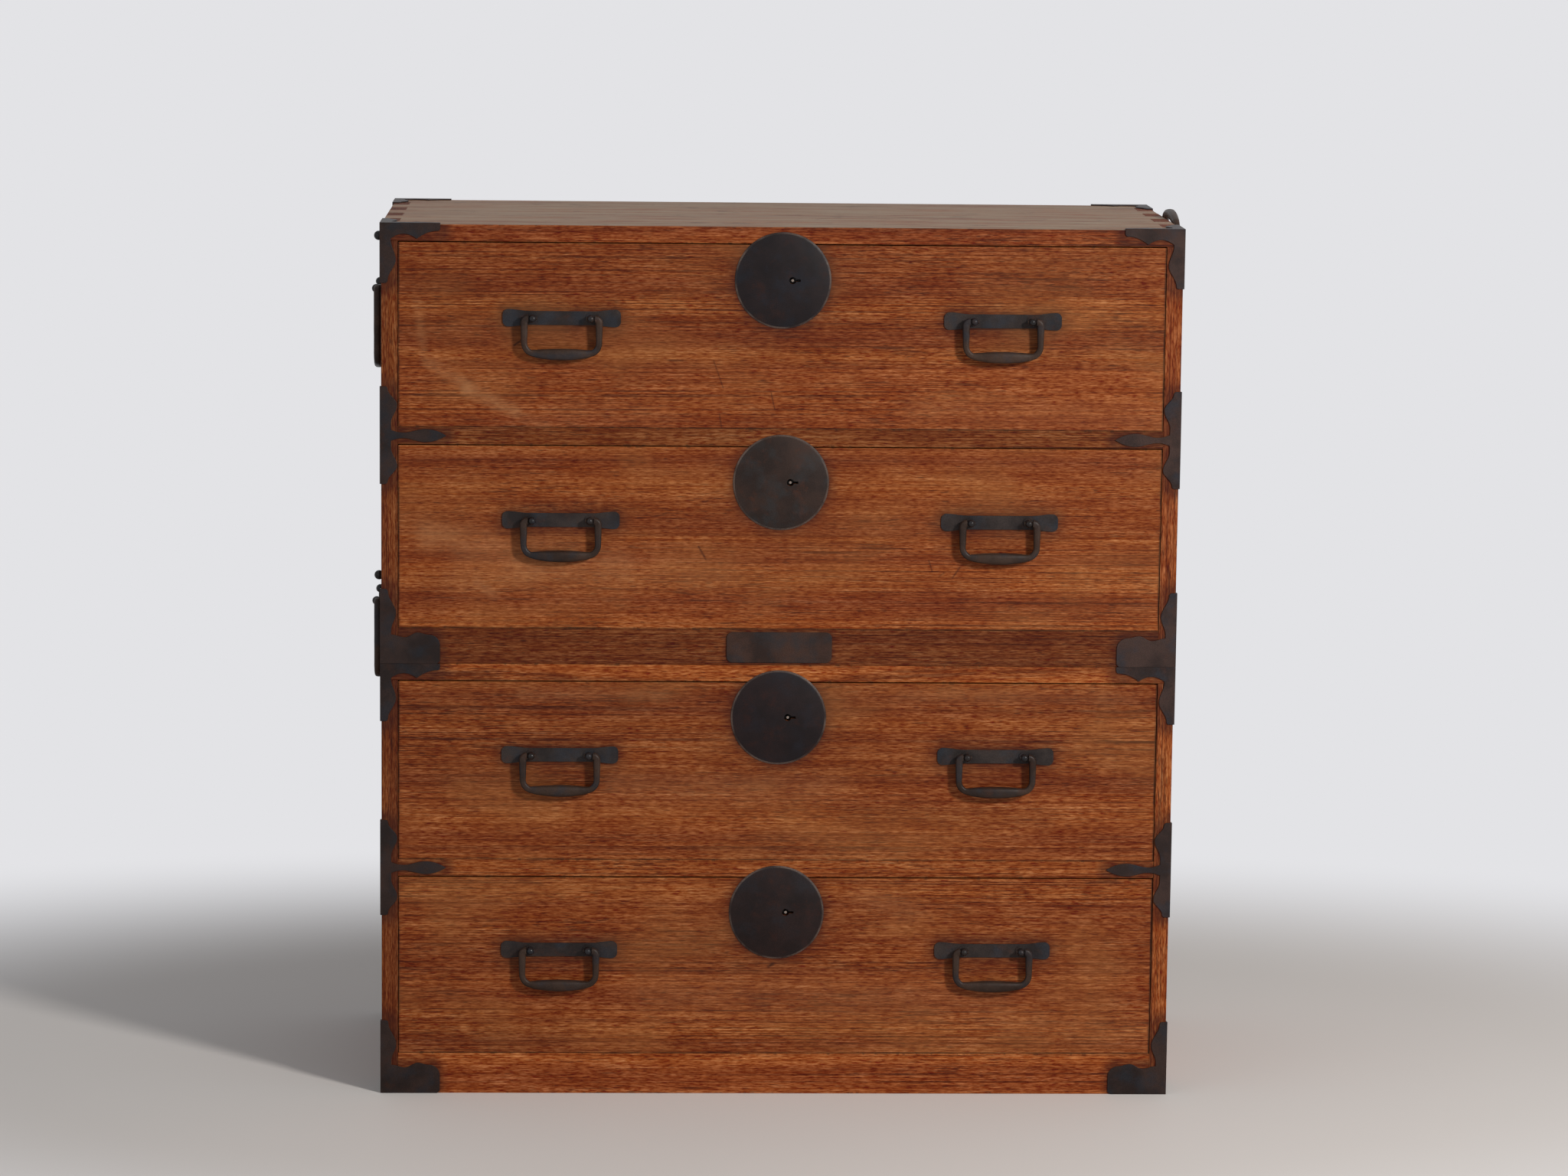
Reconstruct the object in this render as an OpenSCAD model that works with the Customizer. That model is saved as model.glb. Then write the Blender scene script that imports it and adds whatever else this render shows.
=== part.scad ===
// Clothing chest in two stacking cases, each with two full-width drawers, in wood with black iron fittings.
// Millimetres. +Z is up, the drawers open towards -Y, and the origin is the middle of the chest's underside.

/* [Case] */
// Width over the side boards
case_w = 897; // [700:1:1100]
// Depth over the front rails and the back boards
case_d = 395; // [330:1:460]
// Height of the lower case
lower_h = 497; // [440:1:600]
// Height of the upper case
upper_h = 495.5; // [440:0.5:600]
// Thickness of the side boards
side_t = 18.5; // [16:0.5:24]
// Thickness of the top boards
top_t = 19; // [17:0.5:24]
// Height of the rail between two drawers
rail_h = 19.5; // [17:0.5:26]
// Depth of the rail between two drawers
rail_d = 42; // [32:1:70]
// Height of the upper case's base rail
upper_base_h = 41; // [38:1:60]
// Height of the lower case's base rail
lower_base_h = 47; // [38:1:70]
// Thickness of the base rails, front to back
base_rail_t = 22; // [18:1:30]
// Thickness of the bottom boards
bottom_t = 12; // [9:0.5:16]
// Width of the battens under the lower case
batten_w = 40; // [25:1:60]
// Thickness of the dust board between two drawers
shelf_t = 9; // [7:0.5:12]
// Thickness of the back boards
back_t = 9; // [7:0.5:12]
// Depth of the rebate that takes the back boards
back_rebate = 9; // [6:0.5:11]
// Number of back boards in a case
back_boards = 3; // [2:1:5]
// Shrinkage gap between two back boards
back_gap = 0.6; // [0.2:0.1:1.5]
// How far dust board and bottom are housed in the sides
housing = 6; // [4:0.5:8]
// Length of the rails' tenons
tenon_l = 10; // [6:0.5:12]
// Thickness of the rails' tenons
tenon_t = 10; // [8:0.5:14]
// Number of fingers in each top corner joint, counting both boards
finger_count = 9; // [5:2:13]

/* [Drawers] */
// Thickness of a drawer front
front_t = 18; // [16:0.5:22]
// Part of the front's thickness that laps over sides and bottom
front_lap = 8; // [6:0.5:10]
// Thickness of a drawer's sides
drawer_side_t = 10; // [8:0.5:13]
// Thickness of a drawer's back
drawer_back_t = 9; // [7:0.5:12]
// Thickness of a drawer's bottom
drawer_bottom_t = 7; // [5:0.5:10]
// How far a drawer's sides and back stop below the top of its front
side_drop = 4; // [0:0.5:10]
// Gap on each side of a drawer
gap_side = 0.8; // [0.4:0.1:2]
// Gap over a drawer
gap_top = 1.2; // [0.6:0.1:2.5]
// Running gap under a drawer
gap_bottom = 0.3; // [0.2:0.1:0.5]
// Room behind a closed drawer
back_room = 6; // [2:0.5:20]

/* [Locks] */
// Diameter of the round lock plate
lock_plate_d = 108; // [90:1:112]
// Thickness of the lock plate
lock_plate_t = 1.8; // [1.2:0.1:3]
// Width of the lock plate's bevelled rim
lock_rim_w = 3.5; // [1:0.5:6]
// Thickness of the lock plate at its edge
lock_rim_t = 0.6; // [0.3:0.1:1]
// Distance of the plate's centre below the top of the drawer front
lock_drop = 39.5; // [38:0.5:46]
// Keyhole's offset to the right of the plate's centre
key_x = 10.5; // [8:0.5:14]
// Diameter of the keyhole
key_d = 8; // [6:0.5:9]
// Length of the keyhole's slot past its round part
key_slot_l = 5; // [3:0.5:7]
// Height of the keyhole's slot
key_slot_h = 2.6; // [2:0.1:3.5]
// Diameter of the pin that the hollow key fits over
key_pin_d = 3; // [2:0.1:4]
// Width of the lock's case
lock_case_w = 48; // [44:1:60]
// Height of the lock's case
lock_case_h = 54; // [53:1:62]
// Depth of the lock's case
lock_case_t = 11; // [9:0.5:12]
// Thickness of the lock case's walls
lock_wall = 1.2; // [0.8:0.1:1.6]
// Width of the bolt
bolt_w = 24; // [18:0.5:26]
// Thickness of the bolt
bolt_t = 5; // [3:0.5:6]
// How far the key lifts the bolt
bolt_throw = 10; // [6:0.5:11]
// Height of the bolt's head, down to where the key lifts it
bolt_head_h = 30; // [27:0.5:31]
// Width of the bolt's tail
bolt_tail_w = 14; // [10:0.5:16]
// Thickness of the flat spring beside the bolt
spring_t = 0.8; // [0.5:0.1:1.2]

/* [Drawer pulls] */
// Distance of each pull's middle from the chest's centreline
pull_x = 247; // [180:1:280]
// Distance of the pivots below the top of the drawer front
pull_drop = 83.5; // [60:0.5:110]
// Distance between a pull's two posts
post_gap = 65; // [56:0.5:80]
// Width of the back plate
pull_plate_w = 132; // [122:1:150]
// Height of the back plate's ends
pull_plate_h = 19.6; // [17:0.2:24]
// Radius of the back plate's corners
pull_plate_r = 6; // [3:0.5:8]
// Height of the back plate's waist
pull_waist_h = 15.5; // [13:0.5:16.5]
// Thickness of the back plate
pull_plate_t = 1.5; // [1:0.1:2.5]
// Radius of a post's neck
post_r = 3.8; // [3.4:0.1:4.2]
// Radius of a post's round head
post_head_r = 4.2; // [3.9:0.1:4.6]
// Distance of the pivot in front of the wood
pull_reach = 9; // [8:0.5:12]
// Distance from the pivot to the lowest point of the grip
pull_drop_l = 46.8; // [44:0.2:62]
// Radius of the pull's rod at its shoulders
rod_top_r = 4.3; // [3.4:0.1:4.6]
// Radius of the pull's rod at its lower bends
rod_low_r = 3.6; // [2.8:0.1:4.4]
// Radius of the grip at its middle
grip_r = 6.7; // [5:0.1:6.8]
// How far the grip bows down in its middle
grip_sag = 0.8; // [0:0.1:7]
// Radius of the pivot pins
pin_r = 2.1; // [1.8:0.1:2.3]
// Running clearance round a pivot pin
pin_gap = 0.3; // [0.1:0.05:0.4]
// Side clearance between a shoulder and its post
shoulder_gap = 0.5; // [0.3:0.1:1]
// Radius of a post's shank in the drawer front
shank_r = 2; // [1.5:0.1:2.5]
// Length of the two clenched legs behind the drawer front
clench_l = 16; // [10:1:24]
// Thickness of the clenched legs
clench_t = 1.2; // [0.8:0.1:1.6]

/* [Side handles] */
// Distance of the upper pivots below the top of the wood
upper_pivot_drop = 85; // [70:1:110]
// Distance of the lower pivots above the joint between the cases
lower_pivot_rise = 49; // [45:1:90]
// Distance between a side handle's two posts
side_post_gap = 96; // [80:1:120]
// Distance of the side pivots from the wood
side_reach = 10.5; // [10:0.5:16]
// Distance from a side pivot to the end of its handle
side_handle_l = 95; // [80:1:110]
// Radius of the side handle's rod
side_rod_r = 4.4; // [3.8:0.1:4.8]
// Radius of the side handle's grip
side_grip_r = 5.4; // [4.6:0.1:6.5]
// How far the side grip bows out
side_sag = 5; // [2:0.5:9]
// Radius of a side post's neck
side_post_r = 4.6; // [4.2:0.1:5]
// Radius of a side post's head
side_head_r = 5; // [4.7:0.1:5.1]
// Lean of the raised handle towards the chest
raised_lean = 2; // [1:0.5:4]
// Width of the side handle's back plate
side_plate_w = 168; // [150:1:190]
// Height of that plate's ends
side_plate_h = 25.8; // [22:0.2:30]
// Radius of that plate's corners
side_plate_r = 10; // [4:0.5:10.5]
// Height of that plate's waist
side_waist_h = 19.4; // [16:0.2:21]
// Height of the upper studs above their pivots
upper_stud_z = 57; // [40:1:64]
// Height of the lower studs above their pivots
lower_stud_z = 23; // [22:1:40]
// Radius of a stud's head
stud_r = 5.5; // [4:0.5:8]
// How far a stud stands out of the wood
stud_l = 17; // [12:0.5:20]

/* [Corner irons] */
// Thickness of the iron
iron_t = 1.5; // [1:0.1:2.5]
// Length of a corner iron's wings along the edges at a top corner
cap_l = 66; // [55:1:80]
// Height of the upright wing at a bottom corner
foot_l = 85; // [75:1:100]
// Length of the round lobe at a bottom corner
lobe_l = 66; // [55:1:80]
// Height of the round lobe at a bottom corner
lobe_h = 35.5; // [30:0.5:37]
// Width of a wing at its narrowest
bite_w = 11; // [9:0.5:13]
// Width of a wing at its swell
swell_w = 16.5; // [14:0.5:17.5]
// Width of a wing near its tip
tip_w = 7.5; // [5:0.5:9]
// Distance of the swell from the corner
swell_s = 40; // [34:1:46]
// Height of the strap over the joint of rail and side
strap_l = 110; // [90:1:130]
// Width of the strap at its swells
strap_w = 18; // [14:0.5:18]
// Reach of the strap's leaf along the rail
leaf_l = 73; // [60:1:90]
// Height of the strap's leaf at its widest
leaf_h = 14.8; // [10:0.2:16]
// Width of the plate on the upper base rail
rail_plate_w = 119; // [90:1:150]
// Height of the plate on the upper base rail
rail_plate_h = 35; // [28:0.5:37]
// Radius of that plate's corners
rail_plate_r = 7; // [3:0.5:12]

/* [Hidden] */
$fn = 48;
cut = 1; // how far a cutting tool runs past a face
wood = "#b06a3a";
wood_inside = "#c79a6b";
iron = "#47434a";

front_y = -case_d / 2;
back_y = case_d / 2;
inner_w = case_w - 2 * side_t;
top_z = lower_h + upper_h;
finger_w = case_d / finger_count;
upper_open_h = (upper_h - top_t - rail_h - upper_base_h) / 2;
lower_open_h = (lower_h - top_t - rail_h - lower_base_h) / 2;

// Drawers are numbered from the top down
DRAWERS = [1:4];
open_h = [undef, upper_open_h, upper_open_h, lower_open_h, lower_open_h];
open_z = [
    undef,
    top_z - top_t - upper_open_h,
    lower_h + upper_base_h,
    lower_h - top_t - lower_open_h,
    lower_base_h
];
drawer_w = inner_w - 2 * gap_side;
drawer_l = case_d - back_t - back_room;

// Bolt: centred in the depth of the lock's case, its foot just over the case's floor
bolt_y = front_t - lock_case_t / 2;
bolt_gap = 0.3;
bolt_tip_drop = 0.5;
bolt_h = lock_case_h - lock_wall - bolt_gap - bolt_tip_drop;
mortise_room = 1.5;
mortise_h = bolt_throw - bolt_tip_drop - gap_top + mortise_room;

// Pull rod: the bends at the shoulders and above the grip
shoulder_x = post_gap / 2 + post_head_r + shoulder_gap;
shoulder_bend = rod_top_r + 0.3;
low_bend = 12;
side_shoulder_x = side_post_gap / 2 + side_head_r + shoulder_gap;
side_bend = side_rod_r + 0.3;
side_low_bend = 14;
rod_sides = 10;
rod_step = 22.5; // degrees between two rings of a bend

// Posts, their collars, and the length over which a back plate widens to its ends
shank_gap = 0.1;
collar_w = 2;
collar_h = 1.2;
plate_taper = 24;
stud_collar_w = 1.5;

DRAWER_PIECES = ["front", "sides", "back", "bottom", "lock_plate", "lock_case", "lock_bolt",
                 "pull_fittings", "pull_left", "pull_right"];
CASE_PIECES = ["sides", "top", "bottom", "rails", "dust_board", "back", "irons"];

function drawer_node(d, piece) = str("drawer_", d, "_", piece);
function drawer_h(d) = open_h[d] - gap_top - gap_bottom;
function ease(q) = (1 - cos(180 * q)) / 2;

module both_sides() {
    children();
    mirror([1, 0, 0]) children();
}

module front_and_back() {
    children();
    mirror([0, 1, 0]) children();
}

// Stands an outline up on the front: its x stays, its y becomes z, and it grows forwards from the wood
module on_front(t) {
    translate([0, front_y, 0]) rotate([90, 0, 0]) linear_extrude(t) children();
}

// Turns what is drawn along x and y, with z outwards, onto the right side: x runs back and y goes up
module on_right(z) {
    translate([case_w / 2, 0, z]) rotate([90, 0, 90]) children();
}

// ---- Cases ----

// The top board's own fingers at its right end
module top_fingers(z) {
    for (i = [0:2:finger_count - 1])
        translate([inner_w / 2, front_y + i * finger_w, z])
            cube([side_t, finger_w, top_t]);
}

// Tenon on the right end of a rail that starts at height z
module rail_tenon(z, h) {
    shoulder = h / 5;
    translate([inner_w / 2, front_y + (base_rail_t - tenon_t) / 2, z + shoulder])
        cube([tenon_l, tenon_t, h - 2 * shoulder]);
}

module rail(z, h, d) {
    translate([-inner_w / 2, front_y, z]) cube([inner_w, d, h]);
    both_sides() rail_tenon(z, h);
}

// Board housed in both sides, from the given depth behind the front to the back boards
module housed_board(z, t, from) {
    w = inner_w + 2 * housing;
    translate([-w / 2, front_y + from, z]) cube([w, case_d - back_t - from, t]);
}

// Mortise that the bolt of drawer d enters, in the rail or top board above it
module bolt_mortise(d) {
    w = bolt_w + 2 * mortise_room;
    l = bolt_t + 2 * mortise_room;
    z = open_z[d] + open_h[d];
    translate([-w / 2, front_y + bolt_y - l / 2, z - cut]) cube([w, l, mortise_h + cut]);
}

module case_sides(z, h, base_h, rail_z) {
    color(wood) both_sides() difference() {
        translate([inner_w / 2, front_y, z]) cube([side_t, case_d, h]);
        top_fingers(z + h - top_t);
        rail_tenon(z, base_h);
        rail_tenon(rail_z, rail_h);
        housed_board(z + base_h - bottom_t, bottom_t, base_rail_t);
        housed_board(rail_z + rail_h - shelf_t, shelf_t, rail_d);
        translate([inner_w / 2 - cut, back_y - back_t, z - cut])
            cube([back_rebate + cut, back_t + cut, h - top_t + cut]);
    }
}

module case_top(z, d) {
    color(wood) difference() {
        union() {
            translate([-inner_w / 2, front_y, z]) cube([inner_w, case_d, top_t]);
            both_sides() top_fingers(z);
        }
        bolt_mortise(d);
    }
}

module case_rails(z, base_h, rail_z, d) {
    color(wood) {
        rail(z, base_h, base_rail_t);
        difference() {
            rail(rail_z, rail_h, rail_d);
            bolt_mortise(d);
        }
    }
}

module case_dust_board(rail_z) {
    color(wood_inside) housed_board(rail_z + rail_h - shelf_t, shelf_t, rail_d);
}

module case_back(z, h) {
    w = inner_w + 2 * back_rebate;
    board_h = (h - top_t - (back_boards - 1) * back_gap) / back_boards;
    color(wood) for (i = [0:back_boards - 1])
        translate([-w / 2, back_y - back_t, z + i * (board_h + back_gap)]) cube([w, back_t, board_h]);
}

lower_rail_z = lower_base_h + lower_open_h;
upper_rail_z = lower_h + upper_base_h + upper_open_h;

module lower_case_sides() { case_sides(0, lower_h, lower_base_h, lower_rail_z); }
module upper_case_sides() { case_sides(lower_h, upper_h, upper_base_h, upper_rail_z); }
module lower_case_top() { case_top(lower_h - top_t, 3); }
module upper_case_top() { case_top(top_z - top_t, 1); }
module lower_case_rails() { case_rails(0, lower_base_h, lower_rail_z, 4); }
module upper_case_rails() { case_rails(lower_h, upper_base_h, upper_rail_z, 2); }
module lower_case_dust_board() { case_dust_board(lower_rail_z); }
module upper_case_dust_board() { case_dust_board(upper_rail_z); }
module lower_case_back() { case_back(0, lower_h); }
module upper_case_back() { case_back(lower_h, upper_h); }

// The lower case's bottom stands on three battens that reach the floor
module lower_case_bottom() {
    batten_x = (inner_w - batten_w) / 3;
    color(wood_inside) {
        housed_board(lower_base_h - bottom_t, bottom_t, base_rail_t);
        for (i = [-1:1])
            translate([i * batten_x - batten_w / 2, front_y + base_rail_t, 0])
                cube([batten_w, case_d - back_t - base_rail_t, lower_base_h - bottom_t]);
    }
}

module upper_case_bottom() {
    color(wood_inside) housed_board(lower_h + upper_base_h - bottom_t, bottom_t, base_rail_t);
}

// ---- Corner irons ----
// A wing is drawn from its outer corner, with x and y running inwards along the two edges of the wood.

curve_steps = 10;
wing_root = 18; // where the two legs of a wing part
tip_r = 3; // rounding at a leg's end
lobe_dip = 2.5; // fall of the lobe's edge on both sides of its crest
lobe_notch = 5.5; // depth of the notch between the crest and the upright
lobe_end_r = 12;

// Round end of a leg: from its inner edge at width w to its end at length l
function tip_arc(l, w) = [for (a = [90:-30:0]) [l - tip_r + tip_r * cos(a), w - tip_r + tip_r * sin(a)]];

// Inner edge of a leg that swells once to width w: it leaves the root at the narrow width
function swell_edge(root, l, swell_at, w) = concat(
    [for (i = [0:curve_steps])
        [root + (swell_at - root) * i / curve_steps, bite_w + (w - bite_w) * ease(i / curve_steps)]],
    [for (i = [1:curve_steps - 1])
        [swell_at + (l - tip_r - swell_at) * i / curve_steps, w - (w - tip_w) * ease(i / curve_steps)]],
    tip_arc(l, tip_w)
);

// Inner edge of a leg with a hollow, a sharp cusp and a second hollow
function cusp_edge(l, cusp_at) =
    let (low = (bite_w + cusp_at) / 2)
    concat(
        [for (i = [0:2 * curve_steps])
            let (s = bite_w + (cusp_at - bite_w) * i / (2 * curve_steps))
            [s, bite_w + (swell_w - bite_w) * pow((s - low) / (cusp_at - low), 2)]],
        [for (i = [1:curve_steps - 1])
            [cusp_at + (l - tip_r - cusp_at) * i / curve_steps,
             tip_w + (swell_w - tip_w) * pow(1 - i / curve_steps, 2)]],
        tip_arc(l, tip_w)
    );

// Upper edge of the round lobe at a bottom corner, from the upright's side to the lobe's end
function lobe_edge() =
    let (
        h = lobe_h, l = lobe_l, n = curve_steps, end_r = lobe_end_r,
        dip = h - lobe_dip, notch = h - lobe_notch,
        notch_x = 0.4 * l, crest = 0.62 * l
    )
    concat(
        [for (i = [0:n]) [bite_w + (notch_x - bite_w) * i / n, dip - (dip - notch) * ease(i / n)]],
        [for (i = [1:n]) [notch_x + (crest - notch_x) * i / n, notch + (h - notch) * ease(i / n)]],
        [for (i = [1:n]) [crest + (l - end_r - crest) * i / n, h - (h - dip) * ease(i / n)]],
        [for (a = [75:-15:0]) [l - end_r + end_r * cos(a), dip - end_r + end_r * sin(a)]],
        [[l, tip_r], [l - tip_r, 0]]
    );

function reversed(list) = [for (i = [len(list) - 1:-1:0]) list[i]];
function swapped(list) = [for (p = list) [p[1], p[0]]];

// Outline of a top corner's wing, l along each edge
module cap_wing(l) {
    polygon(concat(
        [[-iron_t, -iron_t], [l, -iron_t]],
        reversed(cusp_edge(l, swell_s)),
        swapped(swell_edge(wing_root, l, swell_s, swell_w)),
        [[-iron_t, l]]
    ));
}

// The same wing without the folded rim along x, for an edge that another piece rests on
module plain_cap_wing(l) {
    intersection() {
        cap_wing(l);
        translate([-iron_t, 0]) square(2 * l);
    }
}

// Outline of a bottom corner's wing: x along the floor, y up
module foot_wing() {
    polygon(concat(
        [[-iron_t, 0]],
        reversed(lobe_edge()),
        swapped(swell_edge(lobe_h + 2, foot_l, lobe_h + swell_s - wing_root, swell_w)),
        [[-iron_t, foot_l]]
    ));
}

// Outline of a strap, centred on its rail: x inwards from the outer edge
module strap_wing() {
    half = strap_l / 2;
    swell_at = 0.62 * half;
    edge = swell_edge(half / 4, half, swell_at, strap_w);
    root_h = 0.85 * leaf_h;
    neck = 0.34 * leaf_l;
    neck_h = 0.42 * leaf_h;
    widest = 0.68 * leaf_l;
    n = curve_steps;
    leaf = concat(
        [[0, root_h / 2]],
        [for (i = [0:n])
            [bite_w + (neck - bite_w) * i / n, (neck_h + (root_h - neck_h) * pow(1 - i / n, 2)) / 2]],
        [for (i = [1:n]) [neck + (widest - neck) * i / n, (neck_h + (leaf_h - neck_h) * ease(i / n)) / 2]],
        [for (i = [1:n - 1]) [widest + (leaf_l - widest) * i / n, leaf_h / 2 * (1 - pow(i / n, 2))]]
    );
    polygon(concat(
        [[-iron_t, -half]],
        reversed([for (p = edge) [p[1], -p[0]]]),
        swapped(edge),
        [[-iron_t, half]]
    ));
    polygon(concat(leaf, [[leaf_l, 0]], reversed([for (p = leaf) [p[0], -p[1]]])));
}

// Both faces of the front-right edge: a wing on the front and one on the side
module on_corner(z) {
    on_front(iron_t) translate([case_w / 2, z]) mirror([1, 0]) children();
    on_right(0) linear_extrude(iron_t) translate([front_y, z]) children();
}

// Top corner with a wing on the front, the side and the top
module cap_iron(z) {
    on_corner(z) mirror([0, 1]) cap_wing(cap_l);
    translate([case_w / 2, front_y, z]) mirror([1, 0]) linear_extrude(iron_t) cap_wing(cap_l);
}

// Top corner that another case stands on: no wing on the top
module under_iron(z) {
    on_corner(z) mirror([0, 1]) plain_cap_wing(cap_l);
}

module foot_iron(z) {
    on_corner(z) foot_wing();
}

module strap_iron(z) {
    on_corner(z) strap_wing();
}

module lower_case_irons() {
    color(iron) both_sides() {
        front_and_back() {
            under_iron(lower_h);
            foot_iron(0);
        }
        strap_iron(lower_rail_z + rail_h / 2);
    }
}

module upper_case_irons() {
    color(iron) both_sides() {
        front_and_back() {
            cap_iron(top_z);
            foot_iron(lower_h);
        }
        strap_iron(upper_rail_z + rail_h / 2);
    }
}

module rail_plate() {
    w = rail_plate_w - 2 * rail_plate_r;
    h = rail_plate_h - 2 * rail_plate_r;
    color(iron) on_front(iron_t) translate([0, lower_h + upper_base_h / 2]) {
        square([rail_plate_w, h], center = true);
        square([w, rail_plate_h], center = true);
        for (x = [-w / 2, w / 2], y = [-h / 2, h / 2]) translate([x, y]) circle(rail_plate_r);
    }
}

// ---- Pulls and handles ----
// A handle is drawn hanging from its pivot at the origin, along x, with its plane at y = 0.

// Half of a rod's centreline from the shoulder to the middle of the grip: [x, z, radius]
function half_rod(shoulder, bend, low, l, top_r, low_r, mid_r, sag) =
    let (
        grip_x = shoulder + bend - low,
        grip_z = mid_r + sag - l,
        end_r = low_r + (mid_r - low_r) / 4
    )
    concat(
        [for (a = [90:-rod_step:0]) [shoulder + bend * cos(a), bend * sin(a) - bend, top_r]],
        [for (a = [0:-rod_step:-80]) [grip_x + low * cos(a), grip_z + low + low * sin(a), low_r]],
        [for (i = [0:5]) let (q = i / 5) [grip_x * (1 - q), grip_z - sag * (1 - pow(1 - q, 2)),
                                          end_r + (mid_r - end_r) * (1 - pow(1 - q, 2))]]
    );

function whole_rod(half) =
    concat(half, [for (i = [len(half) - 2:-1:0]) [-half[i][0], half[i][1], half[i][2]]]);

// Direction of the centreline at point i: along x at both shoulders, elsewhere from its neighbours
function rod_turn(p, i) =
    i == 0 || i == len(p) - 1 ? 0 : atan2(p[i + 1][1] - p[i - 1][1], p[i + 1][0] - p[i - 1][0]);

// A round rod that follows the centreline and takes its radius from it
module swept_rod(half) {
    p = whole_rod(half);
    n = len(p);
    k = rod_sides;
    points = [for (i = [0:n - 1]) for (j = [0:k - 1])
        let (t = rod_turn(p, i), a = 360 * j / k, r = p[i][2])
        [p[i][0] - r * cos(a) * sin(t), r * sin(a), p[i][1] + r * cos(a) * cos(t)]];
    skin = [for (i = [0:n - 2]) for (j = [0:k - 1])
        let (a = i * k + j, b = i * k + (j + 1) % k)
        each [[a, b, a + k], [b, b + k, a + k]]];
    polyhedron(points, concat(
        skin,
        [[for (j = [k - 1:-1:0]) j]],
        [[for (j = [0:k - 1]) (n - 1) * k + j]]
    ));
}

// Pins that turn in the posts' heads: from inside the shoulder to just past the head
module pivot_pins(shoulder, post_x, head_r) {
    both_sides() translate([post_x - head_r - cut, 0, 0]) rotate([0, 90, 0])
        cylinder(r = pin_r, h = shoulder - post_x + head_r + 2 * cut);
}

module pull_bail() {
    swept_rod(half_rod(shoulder_x, shoulder_bend, low_bend, pull_drop_l, rod_top_r, rod_low_r,
                       grip_r, grip_sag));
    pivot_pins(shoulder_x, post_gap / 2, post_head_r);
}

module side_bail() {
    swept_rod(half_rod(side_shoulder_x, side_bend, side_low_bend, side_handle_l, side_rod_r, side_rod_r,
                       side_grip_r, side_sag));
    pivot_pins(side_shoulder_x, side_post_gap / 2, side_head_r);
}

// Back plate that widens from its waist to its ends, in the plane of x and y
module back_plate(w, h, waist_h, corner_r) {
    end_x = w / 2 - corner_r;
    corner_y = h / 2 - corner_r;
    edge = [for (i = [0:curve_steps]) let (q = i / curve_steps)
        [end_x - plate_taper * (1 - q), (waist_h + (h - waist_h) * ease(q)) / 2]];
    top = concat([for (p = reversed(edge)) [-p[0], p[1]]], edge);
    linear_extrude(pull_plate_t) {
        polygon(concat(top, [for (p = reversed(top)) [p[0], -p[1]]]));
        square([w, 2 * corner_y], center = true);
        for (x = [-end_x, end_x], y = [-corner_y, corner_y]) translate([x, y]) circle(corner_r);
    }
}

// Post along z with a collar, a neck and a round head that the pivot's hole goes through. z = 0 is the wood.
module post(reach, neck_r, head_r) {
    head_z = reach + head_r / 3;
    difference() {
        union() {
            cylinder(r = neck_r + collar_w, h = pull_plate_t + collar_h);
            cylinder(r = neck_r, h = head_z);
            translate([0, 0, head_z]) sphere(head_r);
        }
        translate([-head_r - cut, 0, reach]) rotate([0, 90, 0])
            cylinder(r = pin_r + pin_gap, h = 2 * (head_r + cut));
    }
}

// Shank through the drawer front, its two legs clenched flat behind it
module clenched_shank(l) {
    translate([0, 0, -l - clench_t]) cylinder(r = shank_r, h = l + clench_t);
    translate([-clench_l / 2, -shank_r, -l - clench_t]) cube([clench_l, 2 * shank_r, clench_t]);
}

module pull_fitting() {
    back_plate(pull_plate_w, pull_plate_h, pull_waist_h, pull_plate_r);
    for (x = [-post_gap / 2, post_gap / 2]) translate([x, 0, 0]) {
        post(pull_reach, post_r, post_head_r);
        clenched_shank(front_t);
    }
}

module side_fitting(stud_z) {
    back_plate(side_plate_w, side_plate_h, side_waist_h, side_plate_r);
    for (x = [-side_post_gap / 2, side_post_gap / 2])
        translate([x, 0, 0]) post(side_reach, side_post_r, side_head_r);
    translate([0, stud_z, 0]) {
        cylinder(r = stud_r / 2, h = stud_l - stud_r);
        cylinder(r = stud_r + stud_collar_w, h = pull_plate_t);
        translate([0, 0, stud_l - stud_r]) sphere(stud_r);
    }
}

// Heights of the side handles' pivots
upper_pivot_z = top_z - upper_pivot_drop;
lower_pivot_z = lower_h + lower_pivot_rise;

module side_handle_fittings() {
    color(iron) both_sides() {
        on_right(upper_pivot_z) side_fitting(upper_stud_z);
        on_right(lower_pivot_z) side_fitting(lower_stud_z);
    }
}

// A handle on the right side, turned outwards and up from where it hangs
module right_handle(z, turn) {
    color(iron) translate([case_w / 2 + side_reach, 0, z])
        rotate([0, -turn, 0]) rotate([0, 0, 90]) side_bail();
}

module side_handle_upper_right() { right_handle(upper_pivot_z, 180 + raised_lean); }
module side_handle_upper_left() { mirror([1, 0, 0]) right_handle(upper_pivot_z, 0); }
module side_handle_lower_right() { right_handle(lower_pivot_z, 0); }
module side_handle_lower_left() { mirror([1, 0, 0]) right_handle(lower_pivot_z, 0); }

// ---- Drawers ----
// A drawer's pieces are drawn from the middle of its front's lower edge, with y running back.

module in_place(d) {
    translate([0, front_y, open_z[d] + gap_bottom]) children();
}

// Turns what is drawn along x and y, with z outwards, onto a drawer's face
module on_face(x, z) {
    translate([x, 0, z]) rotate([90, 0, 0]) children();
}

// Keyhole along y, from depth y0 to depth y1
module keyhole(z, y0, y1) {
    translate([key_x, y1, z]) rotate([90, 0, 0]) linear_extrude(y1 - y0) {
        circle(d = key_d);
        translate([0, -key_slot_h / 2]) square([key_d / 2 + key_slot_l, key_slot_h]);
    }
}

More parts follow.
